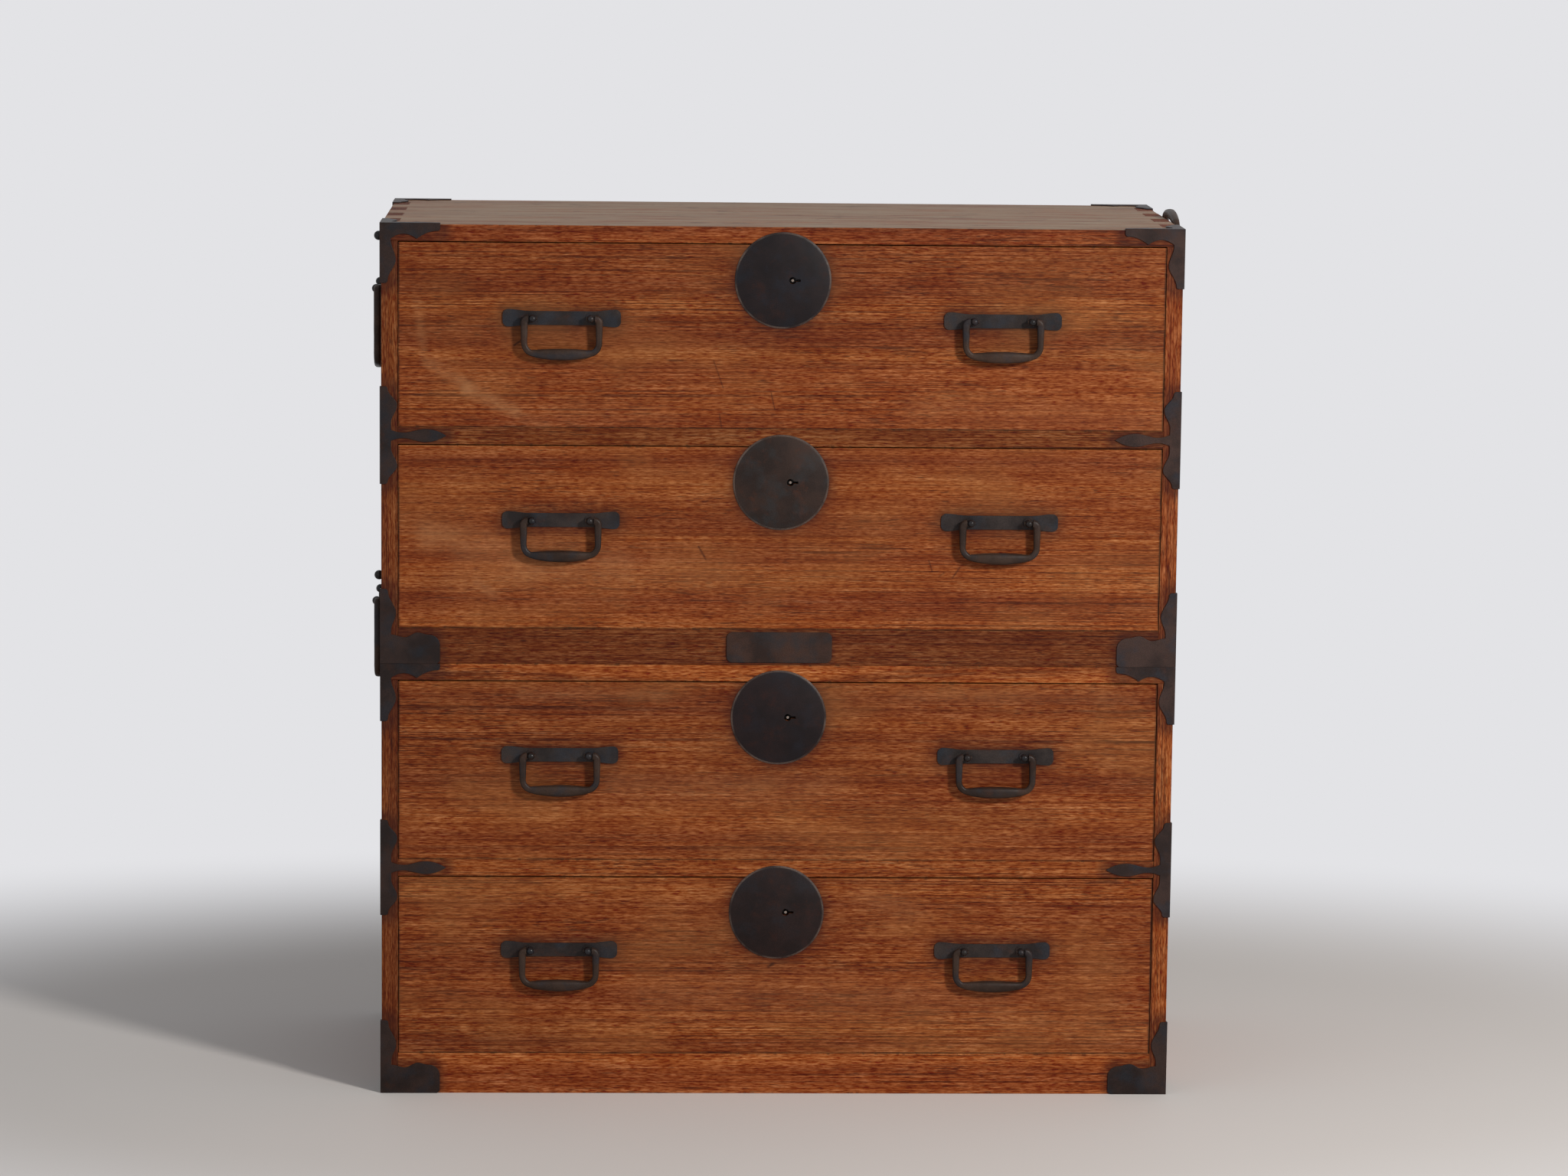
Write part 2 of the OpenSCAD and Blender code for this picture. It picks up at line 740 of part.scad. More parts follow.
module drawer_front(d) {
    h = drawer_h(d);
    color(wood) in_place(d) difference() {
        translate([-drawer_w / 2, 0, 0]) cube([drawer_w, front_t, h]);
        both_sides() translate([drawer_w / 2 - drawer_side_t, front_lap, -cut])
            cube([drawer_side_t + cut, front_t, h - side_drop + cut]);
        translate([-drawer_w / 2 - cut, front_lap, -cut])
            cube([drawer_w + 2 * cut, front_t, drawer_bottom_t + cut]);
        translate([-lock_case_w / 2, front_t - lock_case_t, h - lock_case_h])
            cube([lock_case_w, lock_case_t + cut, lock_case_h + cut]);
        keyhole(h - lock_drop, -cut, front_t);
        for (x = [-pull_x, pull_x], side = [-post_gap / 2, post_gap / 2])
            on_face(x + side, h - pull_drop) translate([0, 0, -front_t - cut])
                cylinder(r = shank_r + shank_gap, h = front_t + 2 * cut);
    }
}

module drawer_sides(d) {
    color(wood_inside) in_place(d) both_sides()
        translate([drawer_w / 2 - drawer_side_t, front_lap, drawer_bottom_t])
            cube([drawer_side_t, drawer_l - front_lap, drawer_h(d) - side_drop - drawer_bottom_t]);
}

module drawer_back(d) {
    w = drawer_w - 2 * drawer_side_t;
    color(wood_inside) in_place(d) translate([-w / 2, drawer_l - drawer_back_t, drawer_bottom_t])
        cube([w, drawer_back_t, drawer_h(d) - side_drop - drawer_bottom_t]);
}

module drawer_bottom(d) {
    color(wood_inside) in_place(d) translate([-drawer_w / 2, front_lap, 0])
        cube([drawer_w, drawer_l - front_lap, drawer_bottom_t]);
}

module drawer_lock_plate(d) {
    r = lock_plate_d / 2;
    z = drawer_h(d) - lock_drop;
    color(iron) in_place(d) difference() {
        on_face(0, z) rotate_extrude() polygon([
            [0, 0], [r, 0], [r, lock_rim_t], [r - lock_rim_w, lock_plate_t], [0, lock_plate_t]
        ]);
        keyhole(z, -lock_plate_t - cut, cut);
    }
}

// Iron case with the bolt's slot, the keyhole, the pin for the hollow key and a flat spring
module drawer_lock_case(d) {
    h = drawer_h(d);
    hollow_w = lock_case_w - 2 * lock_wall;
    hollow_t = lock_case_t - 2 * lock_wall;
    spring_bow = (hollow_w - bolt_w) / 2 - bolt_gap;
    spring_l = 0.6 * lock_case_h;
    spring_w = hollow_t / 2;
    spring_r = (pow(spring_l / 2, 2) + pow(spring_bow, 2)) / (2 * spring_bow);
    color(iron) in_place(d) {
        difference() {
            translate([-lock_case_w / 2, front_t - lock_case_t, h - lock_case_h])
                cube([lock_case_w, lock_case_t, lock_case_h]);
            translate([-hollow_w / 2, front_t - lock_case_t + lock_wall, h - lock_case_h + lock_wall])
                cube([hollow_w, hollow_t, lock_case_h - 2 * lock_wall]);
            translate([-bolt_w / 2 - bolt_gap, bolt_y - bolt_t / 2 - bolt_gap, h - 2 * lock_wall])
                cube([bolt_w + 2 * bolt_gap, bolt_t + 2 * bolt_gap, 3 * lock_wall]);
            keyhole(h - lock_drop, front_t - lock_case_t - cut, front_t - lock_case_t + lock_wall + cut);
        }
        translate([key_x, front_t - lock_wall, h - lock_drop]) rotate([90, 0, 0])
            cylinder(d = key_pin_d, h = front_t - lock_wall + lock_plate_t / 2);
        translate([-hollow_w / 2, bolt_y + spring_w / 2, h - lock_case_h / 2]) rotate([90, 0, 0])
            linear_extrude(spring_w) intersection() {
                translate([spring_bow - spring_r, 0]) difference() {
                    circle(spring_r);
                    circle(spring_r - spring_t);
                }
                translate([0, -lock_case_h / 2]) square([lock_case_w, lock_case_h]);
            }
    }
}

// Bolt: a head in the slot, a step for the key and a tail down to the case's floor
module drawer_lock_bolt(d) {
    color(iron) in_place(d) translate([-bolt_w / 2, bolt_y - bolt_t / 2, drawer_h(d) - bolt_tip_drop]) {
        translate([0, 0, -bolt_head_h]) cube([bolt_w, bolt_t, bolt_head_h]);
        translate([0, 0, -bolt_h]) cube([bolt_tail_w, bolt_t, bolt_h]);
    }
}

module drawer_pull_fittings(d) {
    color(iron) in_place(d) for (x = [-pull_x, pull_x])
        on_face(x, drawer_h(d) - pull_drop) pull_fitting();
}

module drawer_pull(d, x) {
    color(iron) in_place(d) translate([x, -pull_reach, drawer_h(d) - pull_drop]) pull_bail();
}

lower_case_sides();
lower_case_top();
lower_case_bottom();
lower_case_rails();
lower_case_dust_board();
lower_case_back();
lower_case_irons();
upper_case_sides();
upper_case_top();
upper_case_bottom();
upper_case_rails();
upper_case_dust_board();
upper_case_back();
upper_case_irons();
rail_plate();
side_handle_fittings();
side_handle_upper_left();
side_handle_upper_right();
side_handle_lower_left();
side_handle_lower_right();
for (d = DRAWERS) {
    drawer_front(d);
    drawer_sides(d);
    drawer_back(d);
    drawer_bottom(d);
    drawer_lock_plate(d);
    drawer_lock_case(d);
    drawer_lock_bolt(d);
    drawer_pull_fittings(d);
    drawer_pull(d, -pull_x);
    drawer_pull(d, pull_x);
}
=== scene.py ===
"""A clothing chest in two stacking cases.

Worn orange-brown boards, black iron corners, round lock plates and swinging pulls.
"""

import math

import bmesh
import bpy
from mathutils import Matrix, Vector, noise


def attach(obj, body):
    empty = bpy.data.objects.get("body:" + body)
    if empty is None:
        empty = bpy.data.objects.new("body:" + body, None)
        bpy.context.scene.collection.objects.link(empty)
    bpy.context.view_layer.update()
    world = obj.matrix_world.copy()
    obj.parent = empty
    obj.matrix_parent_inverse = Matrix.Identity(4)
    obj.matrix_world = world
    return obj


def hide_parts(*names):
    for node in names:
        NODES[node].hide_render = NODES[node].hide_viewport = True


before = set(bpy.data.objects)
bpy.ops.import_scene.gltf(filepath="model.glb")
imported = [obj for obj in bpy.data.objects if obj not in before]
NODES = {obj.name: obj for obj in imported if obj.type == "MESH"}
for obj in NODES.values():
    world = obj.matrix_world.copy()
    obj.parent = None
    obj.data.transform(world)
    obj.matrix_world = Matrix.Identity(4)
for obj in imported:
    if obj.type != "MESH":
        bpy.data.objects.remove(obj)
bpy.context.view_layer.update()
MM = 0.001

# ---- Sizes that the looks share with the construction, in metres ----

SIDE_X = 0.4485  # outer face of the side boards
FRONT_Y = -0.1975  # face of the drawers and rails
TOP_Z = 0.9925  # upper face of the top board
JOINT_Z = 0.497  # where the upper case stands on the lower one
PULL_REACH = 0.009  # pivots of the pulls in front of the fronts
SIDE_REACH = 0.0105  # pivots of the side handles beside the sides
HEAD_FROM = 0.0045  # where a post's round head begins, out from the wood
TOP_BOARD = 0.019  # thickness of the top boards, and so the height of the fingers that hold them
BACK_FINGER_Y = 0.19  # within the hindmost finger


# ---- Short calls for node trees ----


class Tree:
    """One node tree, written as sums and mixes."""

    def __init__(self, tree):
        self.tree = tree

    def feed(self, socket, value):
        if isinstance(value, bpy.types.NodeSocket):
            self.tree.links.new(value, socket)
        else:
            socket.default_value = value

    def add(self, kind, inputs=None, **settings):
        node = self.tree.nodes.new("ShaderNode" + kind)
        for name, value in settings.items():
            setattr(node, name, value)
        for name, value in (inputs or {}).items():
            self.feed(node.inputs[name], value)
        return node

    def math(self, operation, *values, clamp=False):
        node = self.add("Math", operation=operation, use_clamp=clamp)
        for socket, value in zip(node.inputs, values):
            self.feed(socket, value)
        return node.outputs[0]

    def plus(self, a, b):
        return self.math("ADD", a, b)

    def minus(self, a, b, clamp=False):
        return self.math("SUBTRACT", a, b, clamp=clamp)

    def times(self, a, b, clamp=False):
        return self.math("MULTIPLY", a, b, clamp=clamp)

    def vector(self, operation, *values, out=0):
        node = self.add("VectorMath", operation=operation)
        for socket, value in zip(node.inputs, values):
            self.feed(socket, value)
        return node.outputs[out]

    def scaled(self, vector, by):
        node = self.add("VectorMath", operation="SCALE")
        self.feed(node.inputs[0], vector)
        self.feed(node.inputs["Scale"], by)
        return node.outputs[0]

    def split(self, vector):
        return self.add("SeparateXYZ", {0: vector}).outputs

    def joined(self, x, y, z):
        return self.add("CombineXYZ", {0: x, 1: y, 2: z}).outputs[0]

    def grey(self, value):
        return self.joined(value, value, value)

    def remap(self, value, low, high, to_low=0.0, to_high=1.0, kind="SMOOTHSTEP"):
        """The value's way from low to high, as a number from to_low to to_high."""
        node = self.add("MapRange", interpolation_type=kind)
        for socket, v in zip(node.inputs, (value, low, high, to_low, to_high)):
            self.feed(socket, v)
        return node.outputs[0]

    def mix(self, share, a, b, blend="MIX"):
        """Colours a and b mixed by share."""
        node = self.add("Mix", data_type="RGBA", blend_type=blend)
        colours = [s for s in node.inputs if s.type == "RGBA"]
        self.feed(node.inputs[0], share)
        self.feed(colours[0], a)
        self.feed(colours[1], b)
        return [s for s in node.outputs if s.type == "RGBA"][0]

    def between(self, share, a, b):
        """Numbers a and b mixed by share."""
        return self.plus(self.times(share, self.minus(b, a)), a)

    def noise(self, place, scale=1.0, detail=2.0, rough=0.5):
        given = {"Vector": place, "Scale": scale, "Detail": detail, "Roughness": rough}
        return self.add("TexNoise", given).outputs[0]

    def noise_along(self, value, scale, detail):
        given = {"W": value, "Scale": scale, "Detail": detail}
        return self.add("TexNoise", given, noise_dimensions="1D").outputs[0]

    def placed(self, group, **inputs):
        """A group placed with its own values; its outputs by name."""
        node = self.tree.nodes.new("ShaderNodeGroup")
        node.node_tree = group
        for name, value in inputs.items():
            self.feed(node.inputs[name.replace("_", " ")], value)
        return node.outputs


def shared(name, inputs, outputs):
    """An empty group with named sockets: (Tree, its inputs, its outputs)."""
    tree = bpy.data.node_groups.new(name, "ShaderNodeTree")
    for label, value in inputs.items():
        kind = "NodeSocketVector" if isinstance(value, tuple) else "NodeSocketFloat"
        socket = tree.interface.new_socket(label, in_out="INPUT", socket_type=kind)
        socket.default_value = value
    for label in outputs:
        tree.interface.new_socket(label, in_out="OUTPUT", socket_type="NodeSocketFloat")
    given = tree.nodes.new("NodeGroupInput")
    made = tree.nodes.new("NodeGroupOutput")
    return Tree(tree), given.outputs, made.inputs


def colour(red, green, blue):
    """A colour by its screen values from 0 to 255."""
    def linear(v):
        v /= 255
        return v / 12.92 if v <= 0.04045 else ((v + 0.055) / 1.055) ** 2.4

    return (linear(red), linear(green), linear(blue), 1.0)


# ---- Effects that several finishes use ----


def make_growth_rings():
    """Rings round a pith that lies along X.

    It gives broken late-wood lines, tone bands, stains, fibres, flecks and pores.
    """
    t, given, made = shared(
        "growth_rings",
        {
            "Place": (0.0, 0.0, 0.0), "Pith": (0.0, 0.0, -0.4), "Pitch": 0.0032, "Drift": 0.012,
            "Seed": 0.0,
        },
        ["Line", "Tone", "Stain", "Fibre", "Fleck", "Pores"],
    )
    own = t.vector("ADD", given["Place"], t.scaled((3.17, 1.73, 2.39), given["Seed"]))

    def grown(scale, detail=2.0, rough=0.5):
        """Noise that is drawn out along the grain."""
        return t.noise(t.vector("MULTIPLY", own, scale), detail=detail, rough=rough)

    def swing(value, by):
        return t.times(t.minus(value, 0.5), by)

    out = t.vector("SUBTRACT", given["Place"], given["Pith"])
    across = t.vector("MULTIPLY", out, (0.0, 1.0, 1.0))
    radius = t.vector("LENGTH", across, out=1)
    # The trunk's own bends, from the long drift down to a fine tremble
    radius = t.plus(radius, swing(grown((0.9, 5.0, 5.0), 1.0), given["Drift"]))
    radius = t.plus(radius, swing(grown((4.0, 50.0, 50.0)), 0.0018))
    radius = t.plus(radius, swing(grown((14.0, 120.0, 120.0), 1.0), 0.0006))
    radius = t.plus(radius, t.times(given["Seed"], 0.37))
    # Wide and narrow years
    turn = t.plus(radius, t.times(t.noise_along(radius, 55.0, 2.0), 0.014))
    turn = t.math("DIVIDE", turn, given["Pitch"])
    share = t.math("FRACT", turn)
    year = t.math("FLOOR", turn)
    strength = t.add("TexWhiteNoise", {"W": year}, noise_dimensions="1D").outputs[0]
    # A late-wood line darkens slowly, ends sharply and breaks up along the board
    line = t.times(t.remap(share, 0.36, 0.84), t.remap(share, 0.90, 1.0, 1.0, 0.0))
    line = t.times(line, t.between(strength, 0.30, 1.0))
    broken = t.remap(grown((18.0, 320.0, 320.0), 3.0, 0.7), 0.36, 0.60, 0.25, 1.0)
    line = t.times(line, broken)
    patchy = t.remap(grown((1.8, 11.0, 11.0), 1.0), 0.36, 0.62, 0.40, 1.0)
    line = t.times(line, patchy)
    t.feed(made["Line"], line)
    bands = t.times(t.noise_along(radius, 34.0, 4.0), 0.6)
    patches = t.times(grown((2.2, 16.0, 16.0), 4.0, 0.6), 0.4)
    t.feed(made["Tone"], t.plus(bands, patches))
    t.feed(made["Stain"], grown((16.0, 80.0, 80.0), 3.0, 0.6))
    t.feed(made["Fibre"], grown((6.0, 620.0, 620.0), 3.0, 0.7))
    t.feed(made["Fleck"], grown((110.0, 760.0, 760.0), 2.0, 0.6))
    # Pores come in drifts, short and long ones
    few = swing(grown((5.0, 36.0, 36.0), 1.0), 0.30)
    short = t.remap(t.plus(grown((70.0, 800.0, 800.0), 1.0), few), 0.63, 0.74)
    long = t.remap(t.plus(grown((20.0, 460.0, 460.0), 2.0), few), 0.62, 0.74)
    t.feed(made["Pores"], t.math("MAXIMUM", short, long))
    return t.tree


def make_board_edges():
    """1 on the edges of a board that fills a box from low to high, falling to 0 at the reach."""
    t, given, made = shared(
        "board_edges",
        {
            "Place": (0.0, 0.0, 0.0), "Low": (0.0, 0.0, 0.0), "High": (1.0, 1.0, 1.0),
            "Reach": 0.004,
        },
        ["Edge"],
    )
    from_low = t.vector("ABSOLUTE", t.vector("SUBTRACT", given["Place"], given["Low"]))
    from_high = t.vector("ABSOLUTE", t.vector("SUBTRACT", given["High"], given["Place"]))
    near = t.split(t.vector("MINIMUM", from_low, from_high))
    least = t.math("MINIMUM", t.math("MINIMUM", near[0], near[1]), near[2])
    most = t.math("MAXIMUM", t.math("MAXIMUM", near[0], near[1]), near[2])
    total = t.plus(t.plus(near[0], near[1]), near[2])
    # On a face one distance is 0, on an edge the middle one is too
    middle = t.minus(t.minus(total, least), most)
    share = t.math("DIVIDE", middle, given["Reach"])
    t.feed(made["Edge"], t.minus(1.0, share, clamp=True))
    return t.tree


def make_fitting_stain():
    """1 in the shape of a fitting with rounded corners, falling to 0 over the reach around it."""
    t, given, made = shared(
        "stain_round_a_fitting",
        {
            "Place": (0.0, 0.0, 0.0), "Centre": (0.0, 0.0, 0.0), "Half width": 0.05,
            "Half height": 0.0, "Radius": 0.01, "Reach": 0.02,
        },
        ["Dirt"],
    )
    x, y, z = t.split(t.vector("ABSOLUTE", t.vector("SUBTRACT", given["Place"], given["Centre"])))
    past_x = t.math("MAXIMUM", t.minus(x, given["Half width"]), 0.0)
    past_z = t.math("MAXIMUM", t.minus(z, given["Half height"]), 0.0)
    apart = t.vector("LENGTH", t.joined(past_x, 0.0, past_z), out=1)
    apart = t.minus(apart, given["Radius"])
    share = t.math("DIVIDE", apart, given["Reach"])
    t.feed(made["Dirt"], t.minus(1.0, share, clamp=True))
    return t.tree


def make_rubbed_streak():
    """1 on a straight mark from one point to another, fading over its width."""
    t, given, made = shared(
        "rubbed_streak",
        {
            "Place": (0.0, 0.0, 0.0), "Start": (0.0, 0.0, 0.0), "End": (0.1, 0.0, 0.0),
            "Width": 0.01,
        },
        ["Mark"],
    )
    along = t.vector("SUBTRACT", given["End"], given["Start"])
    out = t.vector("SUBTRACT", given["Place"], given["Start"])
    length = t.vector("DOT_PRODUCT", along, along, out=1)
    share = t.math("DIVIDE", t.vector("DOT_PRODUCT", out, along, out=1), length, clamp=True)
    apart = t.vector("LENGTH", t.vector("SUBTRACT", out, t.scaled(along, share)), out=1)
    t.feed(made["Mark"], t.remap(apart, 0.0, given["Width"], 1.0, 0.0))
    return t.tree


def make_old_iron():
    """Old iron: hammer marks, tarnish clouds, fine speckle, rust bloom and bluish patches."""
    t, given, made = shared(
        "old_iron",
        {"Place": (0.0, 0.0, 0.0), "Hammer": 90.0, "Seed": 0.0},
        ["Hammered", "Clouds", "Speckle", "Rust", "Blue"],
    )
    own = t.vector("ADD", given["Place"], t.scaled((1.3, 2.1, 0.7), given["Seed"]))
    blows = t.add("TexVoronoi", {"Vector": own, "Scale": given["Hammer"]}, feature="SMOOTH_F1")
    t.feed(made["Hammered"], blows.outputs["Distance"])
    t.feed(made["Clouds"], t.noise(own, 26.0, 4.0, 0.6))
    t.feed(made["Speckle"], t.noise(own, 900.0, 3.0, 0.7))
    rust = t.noise(t.vector("ADD", own, (5.0, 0.0, 0.0)), 55.0, 5.0, 0.7)
    t.feed(made["Rust"], t.remap(rust, 0.52, 0.72))
    blue = t.noise(t.vector("ADD", own, (0.0, 7.0, 0.0)), 34.0, 3.0, 0.6)
    t.feed(made["Blue"], t.remap(blue, 0.45, 0.68))
    return t.tree


GROWTH_RINGS = make_growth_rings()
BOARD_EDGES = make_board_edges()
FITTING_STAIN = make_fitting_stain()
RUBBED_STREAK = make_rubbed_streak()
OLD_IRON = make_old_iron()


# ---- Finishes ----

GRAIN_ORDER = {"X": (0, 1, 2), "Y": (1, 0, 2), "Z": (2, 1, 0)}  # axes, the grain's first
SWING = (1.0, 1.8, 2.9)  # how much more green and blue swing than red
STAIN_SWING, FIBRE_SWING, FLECK_SWING = 0.19, 0.36, 0.50  # swing of the red in a full figure
ARRIS = 0.003  # how far a board's worn edge reaches
PORE = colour(48, 17, 9)
EDGE_DIRT = colour(40, 18, 11)


def new_finish(name):
    material = bpy.data.materials.new(name)
    material.use_nodes = True
    t = Tree(material.node_tree)
    shader = material.node_tree.nodes["Principled BSDF"]
    return material, t, shader


def board_value(t, name):
    """What a board says of itself: its box, its seed, its pith or its tone."""
    return t.add("Attribute", attribute_type="OBJECT", attribute_name=name).outputs


def wood(name, grain, early, late, red, worn, shine=0.12, rough=0.5, line=0.95, pitch=0.0032,
         figure=1.0, extra=None):
    """A sawn and planed board with its grain along one axis.

    early, red and late are the colours of a year's growth, worn that of a rubbed edge. line is
    the strength of the late-wood lines, pitch their spacing, figure the strength of fibres,
    flecks and pores. extra adds dirt and marks to the colour, and on some finishes painted shade
    and a painted reflection.
    """
    material, t, shader = new_finish(name)
    place = t.add("TexCoord").outputs["Object"]
    axes = t.split(place)
    order = GRAIN_ORDER[grain]
    sawn = t.joined(*(axes[k] for k in order))
    # Below its glue seam a front is another board
    below = t.math("LESS_THAN", axes[2], board_value(t, "board_seam")["Fac"])
    other = t.times(below, 0.413)
    seed = t.plus(board_value(t, "board_seed")["Fac"], other)
    pith = board_value(t, "board_pith")["Vector"]
    rings = t.placed(GROWTH_RINGS, Place=sawn, Pith=pith, Pitch=pitch, Seed=seed)
    edge = t.placed(
        BOARD_EDGES,
        Place=place,
        Low=board_value(t, "board_low")["Vector"],
        High=board_value(t, "board_high")["Vector"],
        Reach=ARRIS,
    )["Edge"]

    def shaded(colour_in, value, by):
        """The colour made darker and redder, or lighter and paler, by a share of the value."""
        by *= figure
        swing = t.remap(value, 0.3, 0.7, -by, by, "LINEAR")
        factor = t.vector("MULTIPLY_ADD", t.grey(swing), SWING, (1.0, 1.0, 1.0))
        factor = t.vector("MAXIMUM", factor, (0.1, 0.1, 0.1))
        return t.mix(1.0, colour_in, factor, "MULTIPLY")

    shade = t.mix(t.remap(rings["Tone"], 0.32, 0.68), red, early)
    shade = shaded(shade, rings["Stain"], STAIN_SWING)
    shade = t.mix(t.times(rings["Line"], line), shade, late)
    shade = shaded(shade, rings["Fibre"], FIBRE_SWING)
    shade = shaded(shade, rings["Fleck"], FLECK_SWING)
    shade = t.mix(t.times(rings["Pores"], 0.6 * figure), shade, PORE)
    # Each board's tone, which on the left sides, the rails and the fronts also paints shade
    tones = [board_value(t, which + "_tone")["Fac"] for which in ("board", "lower")]
    shade = t.mix(1.0, shade, t.grey(t.between(below, *tones)), "MULTIPLY")

    # End grain drinks the finish and goes dark
    normal = t.vector("ABSOLUTE", t.add("TexCoord").outputs["Normal"])
    end_grain = t.remap(t.split(normal)[order[0]], 0.75, 0.95)
    shade = t.mix(t.times(end_grain, 0.35), shade, late)

    # Edges: rubbed pale along the arris, with chips and dirt that break the line
    chips = t.noise(place, 130.0, 3.0, 0.6)
    ragged = t.times(t.minus(chips, 0.5), 0.9)
    arris = t.remap(t.plus(edge, ragged), 0.74, 1.10)
    shade = t.mix(t.times(arris, 0.35), shade, worn)
    dirt = t.times(t.remap(chips, 0.56, 0.68), t.remap(edge, 0.2, 0.8))
    shade = t.mix(t.times(dirt, 0.6), shade, EDGE_DIRT)
    if extra:
        shade = extra(t, place, shade)
    t.feed(shader.inputs["Base Color"], shade)

    gloss = t.between(rings["Fibre"], rough - 0.08, rough + 0.08)
    gloss = t.plus(gloss, t.times(end_grain, 0.2))
    t.feed(shader.inputs["Roughness"], gloss)
    shader.inputs["Specular IOR Level"].default_value = shine
    raised = t.times(rings["Fibre"], 0.35)
    height = t.minus(raised, t.times(rings["Pores"], 0.6))
    height = t.minus(height, t.times(rings["Line"], 0.25))
    bump = t.add("Bump", {"Height": height, "Strength": 0.35, "Distance": 0.0004})
    t.feed(shader.inputs["Normal"], bump.outputs[0])
    return material


# Where the fittings sit on the fronts of drawers 1 to 4
LOCK_Z = [0.9328, 0.7053, 0.4373, 0.21205]
LOCK_R = 0.054
PULL_Z = [0.8888, 0.6613, 0.3933, 0.16805]
PULL_X = 0.247
PLATE_HALF, PLATE_R = 0.056, 0.0103  # half length and end radius of a pull's back plate

# Marks on the fronts: (x, z, x, z, half width, strength), with both ends in millimetres.
# Rubbed through to pale wood
PALE_MARKS = [
    (-392, 836, -345, 808, 12, 0.36),
    (-352, 808, -300, 784, 13, 0.50),
    (-310, 786, -262, 768, 9, 0.22),
    (-408, 905, -400, 838, 9, 0.20),
    (-400, 640, -330, 632, 26, 0.26),
    (-360, 600, -180, 612, 34, 0.26),
    (-340, 590, -322, 575, 10, 0.30),
    (-398, 646, -236, 628, 24, 0.24),
    (-290, 604, -60, 596, 26, 0.16),
    (-190, 358, 60, 356, 26, 0.16),
    (-290, 463, -130, 462, 13, 0.16),
    (140, 463, 400, 462, 13, 0.16),
    (-150, 116, 250, 112, 46, 0.15),
    (250, 84, 420, 76, 30, 0.12),
    (95, 234, 150, 214, 24, 0.16),
    (150, 790, 420, 782, 24, 0.13),
    (-250, 786, -130, 782, 20, 0.10),
]
# Scratches and nicks
DARK_MARKS = [
    (-300, 858, -291, 864, 2.2, 0.7),
    (-77, 842, -66, 812, 1.4, 0.45),
    (-12, 806, -8, 788, 1.4, 0.5),
    (-70, 782, -67, 764, 1.6, 0.5),
    (-92, 632, -84, 618, 2.0, 0.6),
    (168, 617, 172, 605, 1.6, 0.5),
    (195, 598, 203, 610, 1.8, 0.6),
    (180, 600, 185, 603, 2.0, 0.5),
    (-8, 149, -3, 152, 3.5, 0.7),
]
# Broad soft darkening: partly old dirt and red finish, partly painted shade, most of it on the
# left, away from the key lamp
SOFT_MARKS = [
    (-400, 592, 250, 590, 20, 0.14),
    (-430, 72, -250, 64, 44, 0.20),
    (80, 326, 300, 322, 26, 0.24),
    (-440, 930, -350, 925, 46, 0.12),
    (-440, 585, -380, 580, 34, 0.16),
    (-260, 660, -60, 668, 30, 0.10),
]

IRON_STAIN = colour(50, 18, 12)
# Painted shade along the gaps round the drawers
GAP_SHADE = colour(30, 12, 8)
HAZE = colour(150, 100, 56)
RUBBED = colour(158, 108, 70)
SCRATCHED = colour(42, 18, 12)
# Old red finish, also painted as shade by the broad soft marks
OLD_FINISH_AND_SHADE = colour(62, 22, 10)
# Beige of dust and fading, and of a painted reflection on the top
DUST_AND_SHEEN = colour(156, 134, 110)
BLOTCH = colour(92, 70, 54)


def stained(t, place, shade, spots, power, share):
    """Dark stain that the iron has bled into the wood round each spot.

    A spot is (x, z, half width, half height, radius, reach).
    """
    wobble = t.noise(place, 60.0, 3.0, 0.6)
    dirt = None
    for x, z, half_w, half_h, radius, reach in spots:
        one = t.placed(
            FITTING_STAIN, Place=place, Centre=(x, 0.0, z), Half_width=half_w,
            Half_height=half_h, Radius=radius, Reach=reach,
        )["Dirt"]
        dirt = one if dirt is None else t.math("MAXIMUM", dirt, one)
    dirt = t.times(t.math("POWER", dirt, power), t.between(wobble, 0.3, 1.2))
    return t.mix(t.times(dirt, share, clamp=True), shade, IRON_STAIN)


